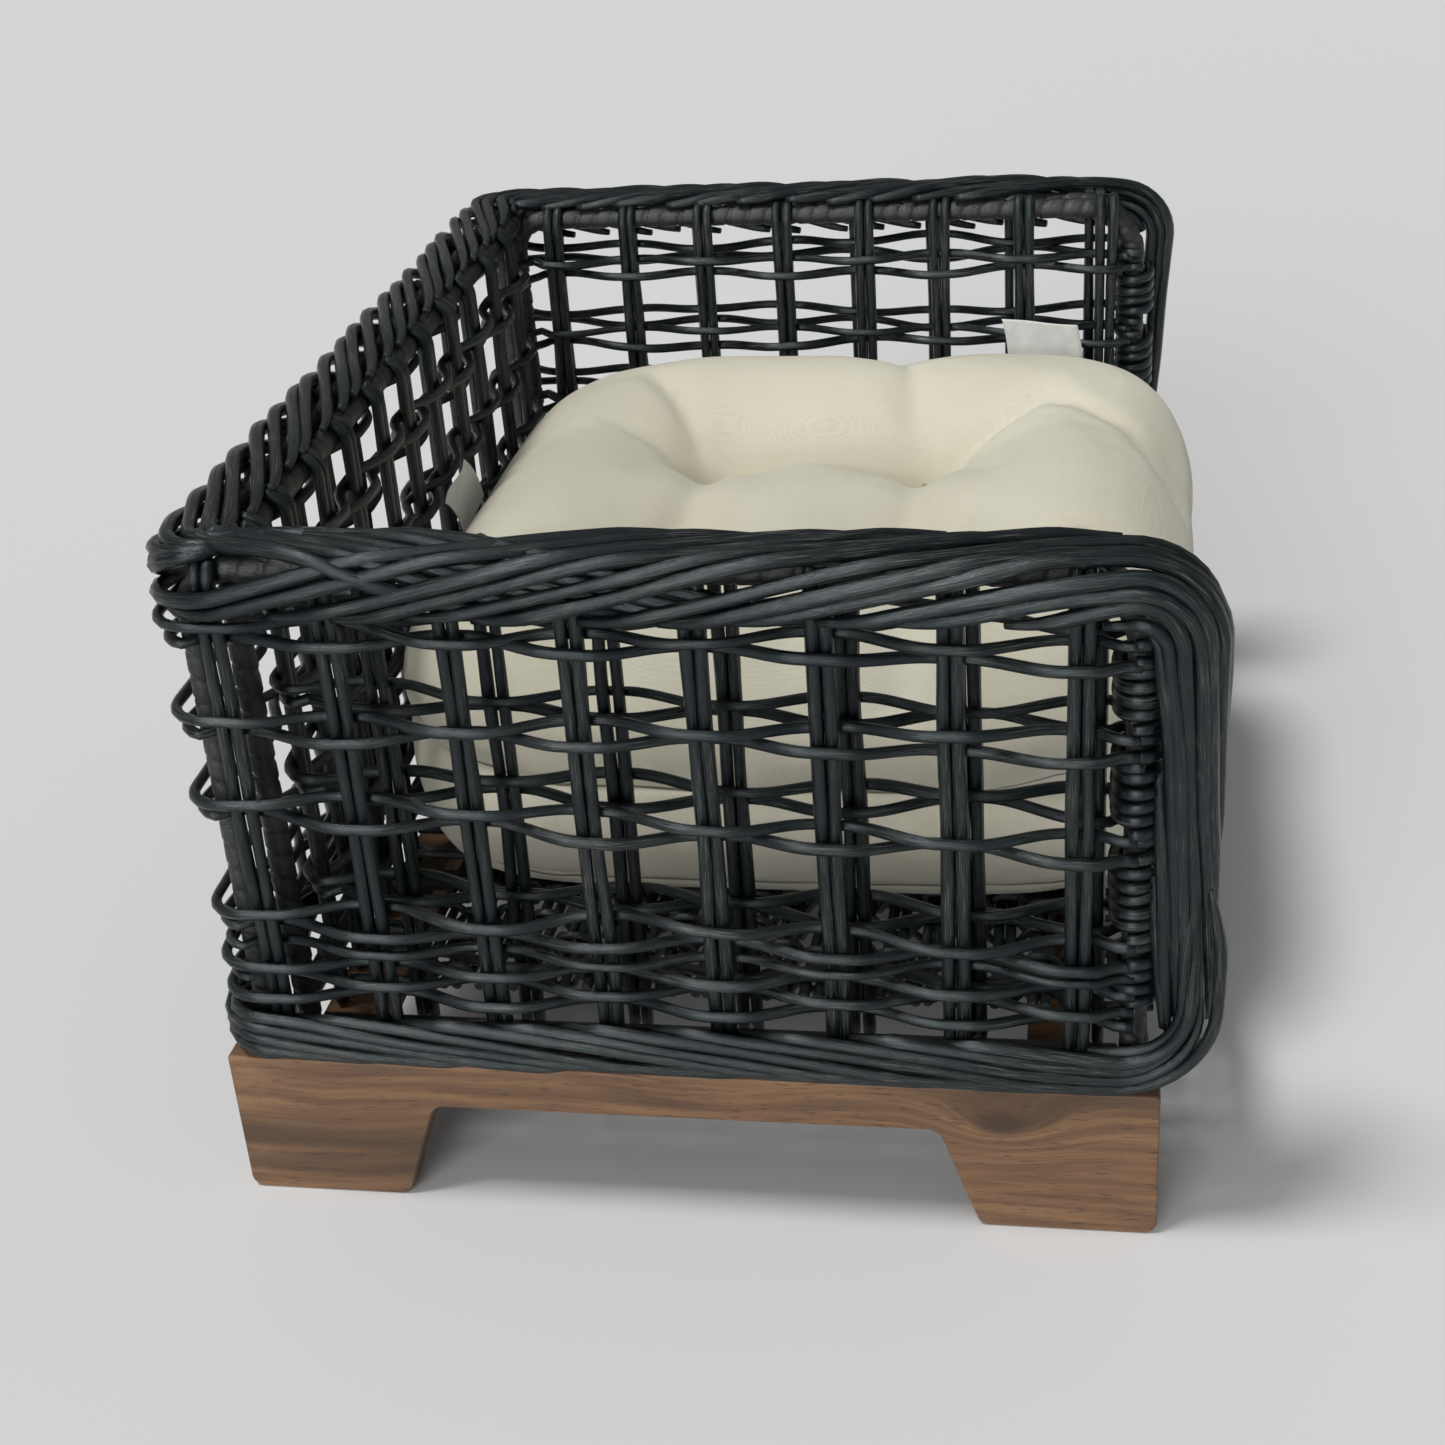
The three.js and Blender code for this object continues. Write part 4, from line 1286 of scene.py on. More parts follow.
@dataclass
class Borders:
    """Top border with its front edges, bottom border, and the low front sill."""

    layout: Layout
    top_radius: float = 3.6 * MM
    bottom_radius: float = 3.1 * MM
    front_line: float = -215.0 * MM
    front_bend: float = 27.0 * MM
    plan_bend: float = 16.0 * MM
    edge_foot: float = 104.0 * MM
    lap_from: float = -62.0 * MM
    lap_to: float = 66.0 * MM
    bottom_line: float = 92.0 * MM
    bottom_front: float = -219.5 * MM
    bottom_bend: float = 34.0 * MM
    bottom_reach: float = 215.0 * MM

    def top(self, shop: Workshop) -> None:
        """Top border: three families of rods that meet on the left wall and at its back corner.

        Args:
            shop: where the finished pieces go.
        """
        at = self.layout
        edge = at.rail_z - self.front_bend - self.edge_foot
        bend = self.front_bend * math.pi / 2
        arc = self.plan_bend * math.pi / 2
        end = at.outer_rail_y - self.plan_bend - (self.front_line + self.front_bend)
        back = 2 * (at.outer_rail_x - self.plan_bend)
        route = Route((-at.outer_rail_x, self.front_line, self.edge_foot), 90.0, 90.0, (
            Leg(edge, 90.0, 90.0), Leg(bend, 90.0), Leg(end, 90.0), Leg(arc, 0.0), Leg(back, 0.0),
            Leg(arc, -90.0), Leg(end, -90.0), Leg(bend, -90.0, -90.0), Leg(edge, -90.0, -90.0)))
        wall = Section((0.0, 0.06, 0.38, 0.50, 0.80, 0.92, 1.0), (11.5, 16.3, 17.6, 13.5, -6.5, -14.5, -17.5),
                       (-17.0, -15.5, 4.5, 11.2, 11.6, 10.4, 8.6))
        turn = Section((0.0, 0.12, 0.50, 0.72, 0.88, 1.0), (10.0, 14.5, 14.5, 8.0, -7.0, -12.0),
                       (-15.0, -11.0, 4.0, 11.0, 11.6, 9.0))
        low = Section((0.0, 0.14, 0.60, 0.78, 0.92, 1.0), (6.0, 10.0, 9.5, 5.0, -5.0, -10.0),
                      (-13.0, -9.0, 4.0, 11.0, 11.6, 8.0))
        ends = route.ends
        sections = ((0.0, low), (edge * 0.6, low), (edge, turn), (ends[2] + 0.03, wall),
                    (ends[7] - 0.03, wall), (ends[8], turn), (ends[8] + edge * 0.4, low), (ends[9], low))
        corner = (ends[3] + ends[4]) / 2
        rates = ((0.0, 0.48), (edge, 0.42), (ends[2] + 0.04, 0.27), (corner, 0.24), (corner + 0.06, 0.19),
                 (ends[7] - 0.04, 0.19), (ends[8], 0.42), (ends[9], 0.48))
        rope = BorderRope(route, sections, rates, 7.4, self.top_radius)
        bundle = RodBundle(410)
        rope.family(bundle, 0.02, corner + 0.040, -1, 0.004, route.length, 0.012)
        rope.family(bundle, corner + 0.045, route.length + 0.3, -1, corner - 0.085, route.length - 0.004,
                    0.012, (corner, 0.035))
        sunk = Section((0.0, 0.06, 0.38, 0.50, 0.72, 0.92, 1.0), (6.5, 11.0, 12.0, 9.0, -3.0, -14.5, -17.5),
                       (-17.0, -15.5, 1.5, 7.6, 10.6, 10.4, 8.6))
        origin = ends[2] - (self.front_line + self.front_bend)
        layers = ((origin + 0.085, sunk), (origin + 0.125, wall), (route.length, wall))
        quick = BorderRope(route, layers, ((0.0, 0.20), (route.length, 0.20)), 8.6, self.top_radius)
        quick.family(bundle, origin + self.lap_from, origin + self.lap_to, 1, 0.0, corner + 0.020)
        piece = bundle.build("top_border")
        names = [f"{stem}_{side.word}" for stem in ("top_border", "front_braid", "front_braid_foot")
                 for side in Side]
        shop.hand_over(piece, Slot.WICKER, Body.BASKET, "top_border_back", *names)

    def bottom(self, shop: Workshop) -> None:
        """Bottom border: a rope round the foot of the walls that turns up both front edges.

        Args:
            shop: where the finished pieces go.
        """
        at = self.layout
        rise = self.bottom_reach - self.bottom_line - self.bottom_bend
        bend = self.bottom_bend * math.pi / 2
        arc = 14.0 * MM * math.pi / 2
        end = at.outer_y - 14.0 * MM - (self.bottom_front + self.bottom_bend)
        back = 2 * (at.outer_x - 14.0 * MM)
        route = Route((-at.outer_x, self.bottom_front, self.bottom_reach), 90.0, -90.0, (
            Leg(rise, 90.0, -90.0), Leg(bend, 90.0), Leg(end, 90.0), Leg(arc, 0.0), Leg(back, 0.0),
            Leg(arc, -90.0), Leg(end, -90.0), Leg(bend, -90.0, 90.0), Leg(rise, -90.0, 90.0)))
        wall = Section((0.0, 0.06, 0.30, 0.72, 0.92, 1.0), (3.0, 7.0, 9.0, 8.8, 6.0, 2.0),
                       (15.0, 14.0, 8.0, -6.5, -10.3, -10.5))
        edge = Section((0.0, 0.15, 0.85, 1.0), (2.0, 5.0, 5.0, 2.0), (6.0, 4.0, -10.0, -11.0))
        ends = route.ends
        sections = ((0.0, edge), (ends[1], edge), (ends[2] + 0.05, wall), (ends[7] - 0.05, wall),
                    (ends[8], edge), (ends[9], edge))
        rates = ((0.0, 1.0), (ends[2], 0.9), (ends[2] + 0.05, 0.24), (ends[7] - 0.05, 0.24),
                 (ends[7], 0.9), (ends[9], 1.0))
        rope = BorderRope(route, sections, rates, 5.6, self.bottom_radius, 5.0 * MM, 0.5)
        bundle = RodBundle(520)
        rope.family(bundle, 0.02, route.length + 0.6, -1, 0.006, route.length - 0.006, 0.095)
        names = [f"bottom_border_{where}" for where in ("left", "back", "right")]
        shop.hand_over(bundle.build("bottom_border"), Slot.WICKER, Body.BASKET, *names)

    def sill(self, shop: Workshop) -> None:
        """Front sill: rods twisted into a slack rope between the two front corners.

        Args:
            shop: where the finished pieces go.
        """
        low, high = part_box("bottom_border_front")
        reach = high[0] - 20 * MM
        centre = ((low[1] + high[1]) / 2, (low[2] + high[2]) / 2)
        route = Route((reach, *centre), 180.0, 0.0, (Leg(2 * reach, 180.0),))
        bundle = RodBundle(630)
        lengths = np.linspace(0.0, route.length, 110)
        for index in range(6):
            angle = math.tau * (index / 6 + lengths / 0.26)
            draw = 0.35 + 0.65 * np.clip(np.minimum(lengths, route.length - lengths) / (40 * MM), 0, 1)
            out = 8.2 * MM * draw * np.cos(angle) + wander(bundle.rng, lengths, 0.05, 0.3 * MM)
            crown = 8.3 * MM * draw * np.sin(angle) + wander(bundle.rng, lengths, 0.05, 0.3 * MM)
            bundle.add(route.at(lengths, out, crown), (0.0, 0.0, 1.0), 3.5 * MM)
        shop.hand_over(bundle.build("front_sill"), Slot.WICKER, Body.BASKET, "bottom_border_front")


# ---- posts, poles and floor ---------------------------------------------------------------------
@dataclass
class PostWraps:
    """Rods wound round the two poles of each front post, broken where the rows turn round it."""

    layout: Layout
    radius: float = 3.05 * MM
    pitch: float = 6.5 * MM
    gaps: tuple[float, ...] = (150.0, 202.0, 251.0, 294.0)
    gap_half: float = 8.0 * MM

    def build(self, shop: Workshop) -> None:
        """A helix on a stadium: an angle turns round the near pole's half and the far one's.

        Args:
            shop: where the finished pieces go.
        """
        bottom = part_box("front_post_wrap_left")[0][2]
        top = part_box("front_post_wrap_left")[1][2] + 8 * MM
        for side in Side:
            bundle = RodBundle(700 + side.value, 7)
            cuts = [gap * MM for gap in self.gaps]
            edges = [bottom, *(edge for cut in cuts for edge in (cut - self.gap_half, cut + self.gap_half)),
                     top]
            for start, stop in zip(edges[::2], edges[1::2]):
                if stop - start > self.pitch:
                    self._winding(bundle, side, start, stop)
            for cut in cuts:
                for level in (-4.3 * MM, 4.3 * MM):
                    self._winding(bundle, side, cut + level, cut + level + 0.6 * MM, 0.62)
            shop.hand_over(bundle.build(f"front_post_wrap_rods_{side.word}"), Slot.WICKER, Body.BASKET,
                           f"front_post_wrap_{side.word}")

    def _winding(self, bundle: RodBundle, side: Side, start: float, stop: float,
                 turns: float | None = None) -> None:
        """One stretch of the helix from one height to another.

        Args:
            bundle: the rods that the new one joins.
            side: the end of the bed.
            start: the height where it starts.
            stop: the height where it stops.
            turns: the number of turns, or None for the usual pitch.
        """
        at = self.layout
        turns = (stop - start) / self.pitch if turns is None else turns
        angle = np.linspace(0.0, math.tau * turns, max(int(30 * turns), 12)) - math.pi * 0.1
        ring = at.pole + self.radius
        half = (at.outer_rail_x - at.inner_rail_x) / 2
        mid = (at.outer_rail_x + at.inner_rail_x) / 2
        swell = wander(bundle.rng, angle, 0.9, 0.28 * MM)
        x = side.value * (mid + half * np.tanh(3 * np.cos(angle)) + (ring + swell) * np.cos(angle))
        y = at.post_y + side.value * (ring + swell) * np.sin(angle)
        z = np.linspace(start, stop, angle.size) + wander(bundle.rng, angle, 2.0, 0.5 * MM)
        bundle.add(np.stack([x, y, z], axis=1), (0.0, 0.0, 1.0), self.radius, cut=1.0)


@dataclass
class RattanFrame:
    """Bent poles of the frame: strip-wound hoops and rails, and bare poles under the floor."""

    layout: Layout
    strip: float = 11.0 * MM
    groove: float = 1.15 * MM

    def _wound(self, bundle: RodBundle, path: np.ndarray, side: Sequence[float]) -> None:
        """A pole with a flat strip wound round it.

        Turns are counted along and round the pole; the strip's edge is a narrow groove where the
        count is whole, and each turn rises a little towards its far edge.

        Args:
            bundle: the bundle the pole joins.
            path: the pole's centre line.
            side: a direction across the pole.
        """
        steps = np.linalg.norm(np.diff(path, axis=0), axis=1)
        lengths = np.concatenate([[0.0], np.cumsum(steps)])
        turn = np.arange(bundle.sides) / bundle.sides
        uneven = wander(bundle.rng, lengths, 0.03, 0.22)
        count = (lengths / self.strip + uneven)[:, None] + turn[None, :]
        part = count - np.floor(count)
        edge = np.exp(-(np.minimum(part, 1 - part) / 0.09) ** 2)
        radius = self.layout.pole - self.groove * edge + 0.30 * MM * (part - 0.5)
        bundle.add(path, side, radius, uneven=0.01)

    def hoops(self, shop: Workshop) -> None:
        """Hoops: up the front post, over the top and down at the back.

        Args:
            shop: where the finished pieces go.
        """
        at = self.layout
        places = {"outer": (at.outer_rail_x, at.outer_rail_y), "inner": (at.inner_rail_x, at.inner_rail_y)}
        for side in Side:
            for layer, (x, y) in places.items():
                low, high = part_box(f"{layer}_hoop_{side.word}")
                front, back = 34.0 * MM, 20.0 * MM
                centre_z = high[2] - at.pole
                route = Route((side.value * x, at.post_y, low[2]), 90.0, 90.0, (
                    Leg(centre_z - front - low[2], 90.0, 90.0), Leg(front * math.pi / 2, 90.0),
                    Leg(y - back - at.post_y - front, 90.0), Leg(back * math.pi / 2, 90.0, -90.0),
                    Leg(centre_z - back - low[2], 90.0, -90.0)))
                bundle = RodBundle(800 + side.value + (10 if layer == "outer" else 0), 14)
                lengths = np.arange(0.0, route.length, 1.3 * MM)
                self._wound(bundle, route.at(lengths, 0.0, 0.0), (1.0, 0.0, 0.0))
                shop.hand_over(bundle.build(f"{layer}_hoop_wound_{side.word}"), Slot.POLE, Body.BASKET,
                               f"{layer}_hoop_{side.word}")

    def rails(self, shop: Workshop) -> None:
        """Back rails, wound like the hoops.

        Args:
            shop: where the finished pieces go.
        """
        for index, node in enumerate(("back_rail_outer", "back_rail_inner")):
            low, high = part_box(node)
            bundle = RodBundle(840 + index, 14)
            xs = np.arange(low[0], high[0], 1.3 * MM)
            path = np.stack([xs, np.full_like(xs, (low[1] + high[1]) / 2),
                             np.full_like(xs, (low[2] + high[2]) / 2)], axis=1)
            self._wound(bundle, path, (0.0, 0.0, 1.0))
            shop.hand_over(bundle.build(f"{node}_wound"), Slot.POLE, Body.BASKET, node)

    def bases(self, shop: Workshop) -> None:
        """Bare poles under the floor, with the slight swellings of their joints.

        Args:
            shop: where the finished pieces go.
        """
        nodes = [*(f"base_pole_{where}" for where in ("left", "right", "front", "back")),
                 *(f"cross_pole_{number}" for number in (1, 2, 3))]
        for index, node in enumerate(nodes):
            low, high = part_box(node)
            axis = int(np.argmax(np.subtract(high, low)))
            centre = (np.array(low) + np.array(high)) / 2
            spots = np.arange(low[axis], high[axis], 4 * MM)
            path = np.tile(centre, (spots.size, 1))
            path[:, axis] = spots
            joint = np.exp(-(((spots - low[axis] + 0.05 * index) % 0.19 - 0.1) / 0.004) ** 2)
            bundle = RodBundle(860 + index, 12)
            bundle.add(path, (0.0, 0.0, 1.0), self.layout.pole * (0.95 + 0.05 * joint), uneven=0.01)
            shop.hand_over(bundle.build(f"{node}_round"), Slot.POLE, Body.BASKET, node)


@dataclass
class Floor:
    """Woven floor: paired rods along X, and paired weavers along Y over and under them."""

    layout: Layout
    pairs: PairPlan = field(default_factory=PairPlan)
    rod_radius: float = 2.6 * MM
    weaver_radius: float = 2.0 * MM
    gap: float = 2.9 * MM
    weaver_pitch: float = 24.0 * MM

    def build(self, shop: Workshop) -> None:
        """Rods at the pairs of the end walls, and weavers on plateaus over and under them.

        Args:
            shop: where the finished pieces go.
        """
        low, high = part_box("floor_weave")
        swing = self.rod_radius + self.weaver_radius
        level = high[2] - swing - self.weaver_radius
        bundle = RodBundle(900)
        spots = self.pairs.left()
        spots = spots[spots < high[1] - 4 * MM]
        thirds = [spots, *(spots[:-1] + self.pairs.left_pitch * share for share in (1 / 3, 2 / 3))]
        spots = np.sort(np.concatenate(thirds))
        xs = np.arange(low[0], high[0], 10 * MM)
        for y in spots:
            for step in (-1, 1):
                across = y + step * self.gap + wander(bundle.rng, xs, 0.08, 0.5 * MM)
                path = np.stack([xs, across, np.full_like(xs, level)], axis=1)
                bundle.add(path, (0.0, 0.0, 1.0), self.rod_radius)
        ys = np.arange(low[1] + 2 * MM, high[1], 4 * MM)
        count = int((high[0] - low[0]) / self.weaver_pitch)
        for index in range(count):
            x = low[0] + self.weaver_pitch * (index + 0.5)
            for step in (-1, 1):
                levels = np.where(np.arange(spots.size) % 2 == 0, 1.0, -1.0) * step * swing
                height = level + plateaus(ys, spots, levels, 5 * MM)
                across = x + step * 2.3 * MM + wander(bundle.rng, ys, 0.06, 0.4 * MM)
                bundle.add(np.stack([across, ys, height], axis=1), (1.0, 0.0, 0.0), self.weaver_radius)
        shop.hand_over(bundle.build("floor_rods"), Slot.WICKER, Body.BASKET, "floor_weave")


# ---- stand --------------------------------------------------------------------------------------
@dataclass
class Stand:
    """Two cut-out boards, joined by two cross rails with dowels, and screwed to the poles."""

    foot_bottom: float = 80.0 * MM
    foot_top: float = 98.5 * MM
    rail_height: float = 24.5 * MM
    corner: float = 6.0 * MM
    top_corner: float = 1.5 * MM
    notch: float = 7.0 * MM
    edge: float = 1.3 * MM
    corner_steps: int = 7

    def _outline(self, half: float, top: float) -> np.ndarray:
        """The board's outline in (y, z): straight runs joined by arcs at its corners.

        Args:
            half: half the board's length.
            top: the height of its top edge.

        Returns:
            The outline's points in order.
        """
        inner_low = half - self.foot_bottom
        inner_high = half - self.foot_top
        cut = top - self.rail_height
        corners = (((-half, top), self.top_corner), ((-half, 0.0), self.corner),
                   ((-inner_low, 0.0), self.corner), ((-inner_high, cut), self.notch),
                   ((inner_high, cut), self.notch), ((inner_low, 0.0), self.corner),
                   ((half, 0.0), self.corner), ((half, top), self.top_corner))
        points = np.array([point for point, _ in corners])
        before = np.roll(points, 1, axis=0) - points
        after = np.roll(points, -1, axis=0) - points
        before /= np.linalg.norm(before, axis=1, keepdims=True)
        after /= np.linalg.norm(after, axis=1, keepdims=True)
        radius = np.array([radius for _, radius in corners])[:, None]
        half_angle = np.arccos(np.clip(np.sum(before * after, axis=1), -1, 1))[:, None] / 2
        reach = radius / np.tan(half_angle)
        middle_way = (before + after) / np.linalg.norm(before + after, axis=1, keepdims=True)
        centre = points + middle_way * radius / np.sin(half_angle)
        first = points + before * reach - centre
        last = points + after * reach - centre
        share = np.linspace(0.0, 1.0, self.corner_steps)[None, :, None]
        arc = first[:, None, :] * (1 - share) + last[:, None, :] * share
        arc *= radius[:, None] / np.linalg.norm(arc, axis=2, keepdims=True)
        return (centre[:, None, :] + arc).reshape(-1, 2)

    def boards(self, shop: Workshop) -> None:
        """Boards: the outline carried through the thickness, drawn in at both faces' edges.

        Args:
            shop: where the finished pieces go.
        """
        for side in Side:
            node = f"stand_board_{side.word}"
            low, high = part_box(node)
            outline = self._outline((high[1] - low[1]) / 2, high[2])
            ahead = np.roll(outline, -1, axis=0) - np.roll(outline, 1, axis=0)
            normal = np.stack([ahead[:, 1], -ahead[:, 0]], axis=1)
            normal /= np.linalg.norm(normal, axis=1, keepdims=True)
            turn = np.linspace(0.0, math.pi / 2, 4)
            inset = self.edge * np.concatenate([1 - np.sin(turn), 1 - np.sin(turn[::-1])])
            depth = np.concatenate([low[0] + self.edge * (1 - np.cos(turn)),
                                    high[0] - self.edge * (1 - np.cos(turn[::-1]))])
            flat = outline[None] - normal[None] * inset[:, None, None]
            flat[..., 1] = np.clip(flat[..., 1], 0.0, high[2])
            points = np.empty((depth.size, len(outline), 3))
            points[..., 0] = depth[:, None]
            points[..., 1] = flat[..., 0] + (low[1] + high[1]) / 2
            points[..., 2] = flat[..., 1]
            piece = grid_mesh(f"{node}_rounded", points, closed=False)
            shop.hand_over(piece, Slot.WOOD, Body.BASKET, node)

    def rest(self, shop: Workshop) -> None:
        """Rails, dowels and screws stay as packed, with their finishes.

        Args:
            shop: where the finished pieces go.
        """
        for where in ("front", "back"):
            shop.paint_node(f"stand_rail_{where}", Slot.WOOD)
            for side in Side:
                shop.paint_node(f"stand_dowel_{side.word}_{where}", Slot.WOOD)
                shop.paint_node(f"stand_screw_{side.word}_{where}", Slot.STEEL)


# ---- cushion ------------------------------------------------------------------------------------
@dataclass(frozen=True)
class Crease:
    """A drawn-in fold of the cushion's top.

    Its points are (x, y), with its depth and half width, all in millimetres. Fading is the share
    of the depth that is lost by its last point.
    """

    points: tuple[tuple[float, float], ...]
    depth: float
    width: float
    fading: float = 0.8

    def at(self, x: np.ndarray, y: np.ndarray) -> np.ndarray:
        """How far the fold draws the top down at each point.

        The depth falls off with the distance to the nearest stretch of the line, as
        1 / (1 + (distance / width)^2), and fades from the line's first point to its last.

        Args:
            x: the points' x.
            y: their y.

        Returns:
            The drop at each point, in metres.
        """
        ends = np.array(self.points) * MM
        best = np.zeros_like(x)
        count = len(ends) - 1
        for index in range(count):
            start, run = ends[index], ends[index + 1] - ends[index]
            share = np.clip(((x - start[0]) * run[0] + (y - start[1]) * run[1]) / (run @ run), 0, 1)
            distance = np.hypot(x - start[0] - share * run[0], y - start[1] - share * run[1])
            fade = 1 - (index + share) / count * self.fading
            best = np.maximum(best, fade / (1 + (distance / (self.width * MM)) ** 2))
        return best * self.depth * MM


@dataclass
class Cushion:
    """Box cushion of cream canvas, swollen by its filling and drawn down at four tufts."""

    tuft_x: tuple[float, float] = (-45.0, 99.0)
    tuft_y: tuple[float, float] = (-76.0, 46.0)
    low: tuple[float, float] = (-190.0, -228.0)
    high: tuple[float, float] = (238.0, 178.0)
    bottom: float = 103.0
    power: float = 5.4
    fold_share: float = 0.95
    deepest: float = 0.056
    tuft_depth: float = 50.0
    tuft_width: float = 19.0
    seams: tuple[float, float] = (116.0, 174.0)
    voxel: float = 4.5 * MM
    pressure: float = 4.0
    frames: int = 20
    cap: float = 9.0 * MM

    def _creases(self) -> tuple[Crease, ...]:
        """Folds between the tufts and out to the sides.

        Returns:
            The folds, in the order they are compared.
        """
        near, far = self.tuft_x
        right, left = self.tuft_y
        return (
            Crease(((near, left), (far, left)), 16, 11),
            Crease(((far, left), (near, left)), 16, 11),
            Crease(((near, right), (far, right)), 16, 11),
            Crease(((far, right), (near, right)), 16, 11),
            Crease(((far, left), (far + 6, -15), (far, right)), 38, 13, 0.0),
            Crease(((95, -150), (55, -115)), 8, 36, 0.0),
            Crease(((88, 112), (50, 80)), 8, 34, 0.0),
            Crease(((near, left), (near - 8, -15), (near, right)), 12, 13),
            Crease(((far, left), (150, 74), (176, 98), (165, 125)), 17, 7),
            Crease(((far, left), (107, 99), (88, 125)), 16, 7),
            Crease(((far, right), (118, -113), (131, -147), (97, -192), (50, -216)), 20, 9),
            Crease(((far, right), (190, -60), (240, -28)), 12, 16),
            Crease(((near, left), (-60, 120), (-70, 178)), 18, 10),
            Crease(((near, right), (-60, -150), (-66, -231)), 18, 10),
            Crease(((near, left), (-120, 56), (-190, 60)), 16, 11),
            Crease(((near, right), (-120, -84), (-190, -90)), 16, 11),
        )

    def _shell(self) -> np.ndarray:
        """The pillow as rings of points from the middle of its underside to that of its top.

        The plan is a superellipse that grows and shrinks with the ring, the height follows the
        ring, and the top is lowered by the tufts and creases.

        Returns:
            The points, by ring and by angle.
        """
        rings = np.array([
            (0.02, 0.0), (0.30, 0.0), (0.60, 0.0), (0.82, 0.0), (0.915, 1.5), (0.955, 7.0), (0.972, 14.0),
            (0.985, 27.0), (0.998, 44.0), (0.992, 60.0), (0.982, 72.0), (0.995, 86.0), (0.998, 104.0),
            (0.985, 121.0), (0.958, 137.0), (0.910, 149.5), (0.845, 157.5), (0.76, 160.5), (0.66, 158.5),
            (0.54, 153.0), (0.42, 147.5), (0.30, 143.5), (0.15, 141.0), (0.02, 141.0)])
        fine = np.linspace(0, len(rings) - 1, 110)
        share = np.interp(fine, np.arange(len(rings)), rings[:, 0])
        lift = np.interp(fine, np.arange(len(rings)), rings[:, 1])
        angle = np.arange(200) / 200 * math.tau
        cos, sin = np.cos(angle), np.sin(angle)
        plan = (np.abs(cos) ** self.power + np.abs(sin) ** self.power) ** (-1 / self.power)
        middle_x, middle_y = (self.low[0] + self.high[0]) / 2, (self.low[1] + self.high[1]) / 2
        half_x, half_y = (self.high[0] - self.low[0]) / 2, (self.high[1] - self.low[1]) / 2
        x = (middle_x + half_x * share[:, None] * (plan * cos)[None, :]) * MM
        y = (middle_y + half_y * share[:, None] * (plan * sin)[None, :]) * MM
        z = np.broadcast_to((self.bottom + lift)[:, None], x.shape) * MM
        top = np.clip((lift - 80.0) / 60.0, 0.0, 1.0)[:, None]
        top = top * top * (3 - 2 * top)
        inner = np.clip((0.165 - x) / 0.07, 0.0, 1.0)
        y = np.where(y < 0, y * (1 - 0.035 * inner), y)
        lean = np.clip((y - 0.06) / 0.11, 0.0, 1.0) * 8 * MM
        return np.stack([x, y, z - top * (self._drop(x, y) + lean)], axis=-1)

    def _drop(self, x: np.ndarray, y: np.ndarray) -> np.ndarray:
        """Depth of the tufts and creases at each point of the top.

        Args:
            x: the points' x.
            y: their y.

        Returns:
            The drop at each point, in metres.
        """
        tufts = np.zeros_like(x)
        for tuft_x in self.tuft_x:
            for tuft_y in self.tuft_y:
                distance = np.hypot(x - tuft_x * MM, y - tuft_y * MM) / (self.tuft_width * MM)
                tufts = np.maximum(tufts, self.tuft_depth * MM / (1 + distance ** 1.7))
        folds = np.zeros_like(x)
        for crease in self._creases():
            folds = np.maximum(folds, crease.at(x, y))
        return np.minimum(tufts + folds * self.fold_share, self.deepest)

    def build(self, shop: Workshop) -> None:
        """Remeshes the shell, lets the filling swell it, smooths it and lays in the seams.

        Args:
            shop: where the finished pieces go.
        """
        points = self._shell()
        piece = grid_mesh("cushion_cover", points, closed=False)
        remesh = piece.modifiers.new("remesh", "REMESH")
        remesh.mode = "VOXEL"
        remesh.voxel_size = self.voxel
        self._apply(piece)
        self._swell(piece)
        smooth = piece.modifiers.new("smooth", "SMOOTH")
        smooth.factor = 0.5
        smooth.iterations = 3
        subdivide = piece.modifiers.new("subdivide", "SUBSURF")
        subdivide.levels = subdivide.render_levels = 1
        self._apply(piece)
        self._sew(piece)
        piece.data.shade_smooth()
        shop.hand_over(piece, Slot.CLOTH, Body.CUSHION, "cushion")

    @staticmethod
    def _apply(piece: bpy.types.Object) -> None:
        """Replaces the piece's mesh by what its modifiers make of it.

        Args:
            piece: the object to bake.
        """
        graph = bpy.context.evaluated_depsgraph_get()
        made = bpy.data.meshes.new_from_object(piece.evaluated_get(graph), depsgraph=graph)
        piece.modifiers.clear()
        old = piece.data
        piece.data = made
        bpy.data.meshes.remove(old)

    def _swell(self, piece: bpy.types.Object) -> None:
        """Cloth under pressure, held at the tufts, the creases' bottoms and the underside.

        Args:
            piece: the cushion cover.
        """
        rest = self._points(piece)
        drop = self._drop(rest[:, 0], rest[:, 1])
        on_top = rest[:, 2] > 0.17
        held = np.where(on_top, np.clip((drop - 0.030) / 0.012, 0, 1), 0.0)
        held = np.maximum(held, (rest[:, 2] < self.bottom * MM + 4 * MM).astype(float))
        group = piece.vertex_groups.new(name="held")
        for level in np.unique(np.round(held, 1)):
            if level > 0:
                chosen = np.flatnonzero(np.round(held, 1) == level).tolist()
                group.add(chosen, float(level), "REPLACE")
        cloth = piece.modifiers.new("cloth", "CLOTH")
        cloth.settings.vertex_group_mass = "held"
        cloth.settings.quality = 5
        cloth.settings.mass = 0.3
        cloth.settings.tension_stiffness = 25
        cloth.settings.compression_stiffness = 8
        cloth.settings.shear_stiffness = 6
        cloth.settings.bending_stiffness = 0.6
        cloth.settings.use_pressure = True
        cloth.settings.uniform_pressure_force = self.pressure
        cloth.settings.effector_weights.gravity = 0.0
        cloth.collision_settings.use_collision = False
        scene = bpy.context.scene
        for number in range(1, self.frames + 1):
            scene.frame_set(number)
        graph = bpy.context.evaluated_depsgraph_get()
        moved = self._points(piece.evaluated_get(graph))
        piece.modifiers.clear()
        piece.vertex_groups.clear()
        scene.frame_set(1)
        step = moved - rest
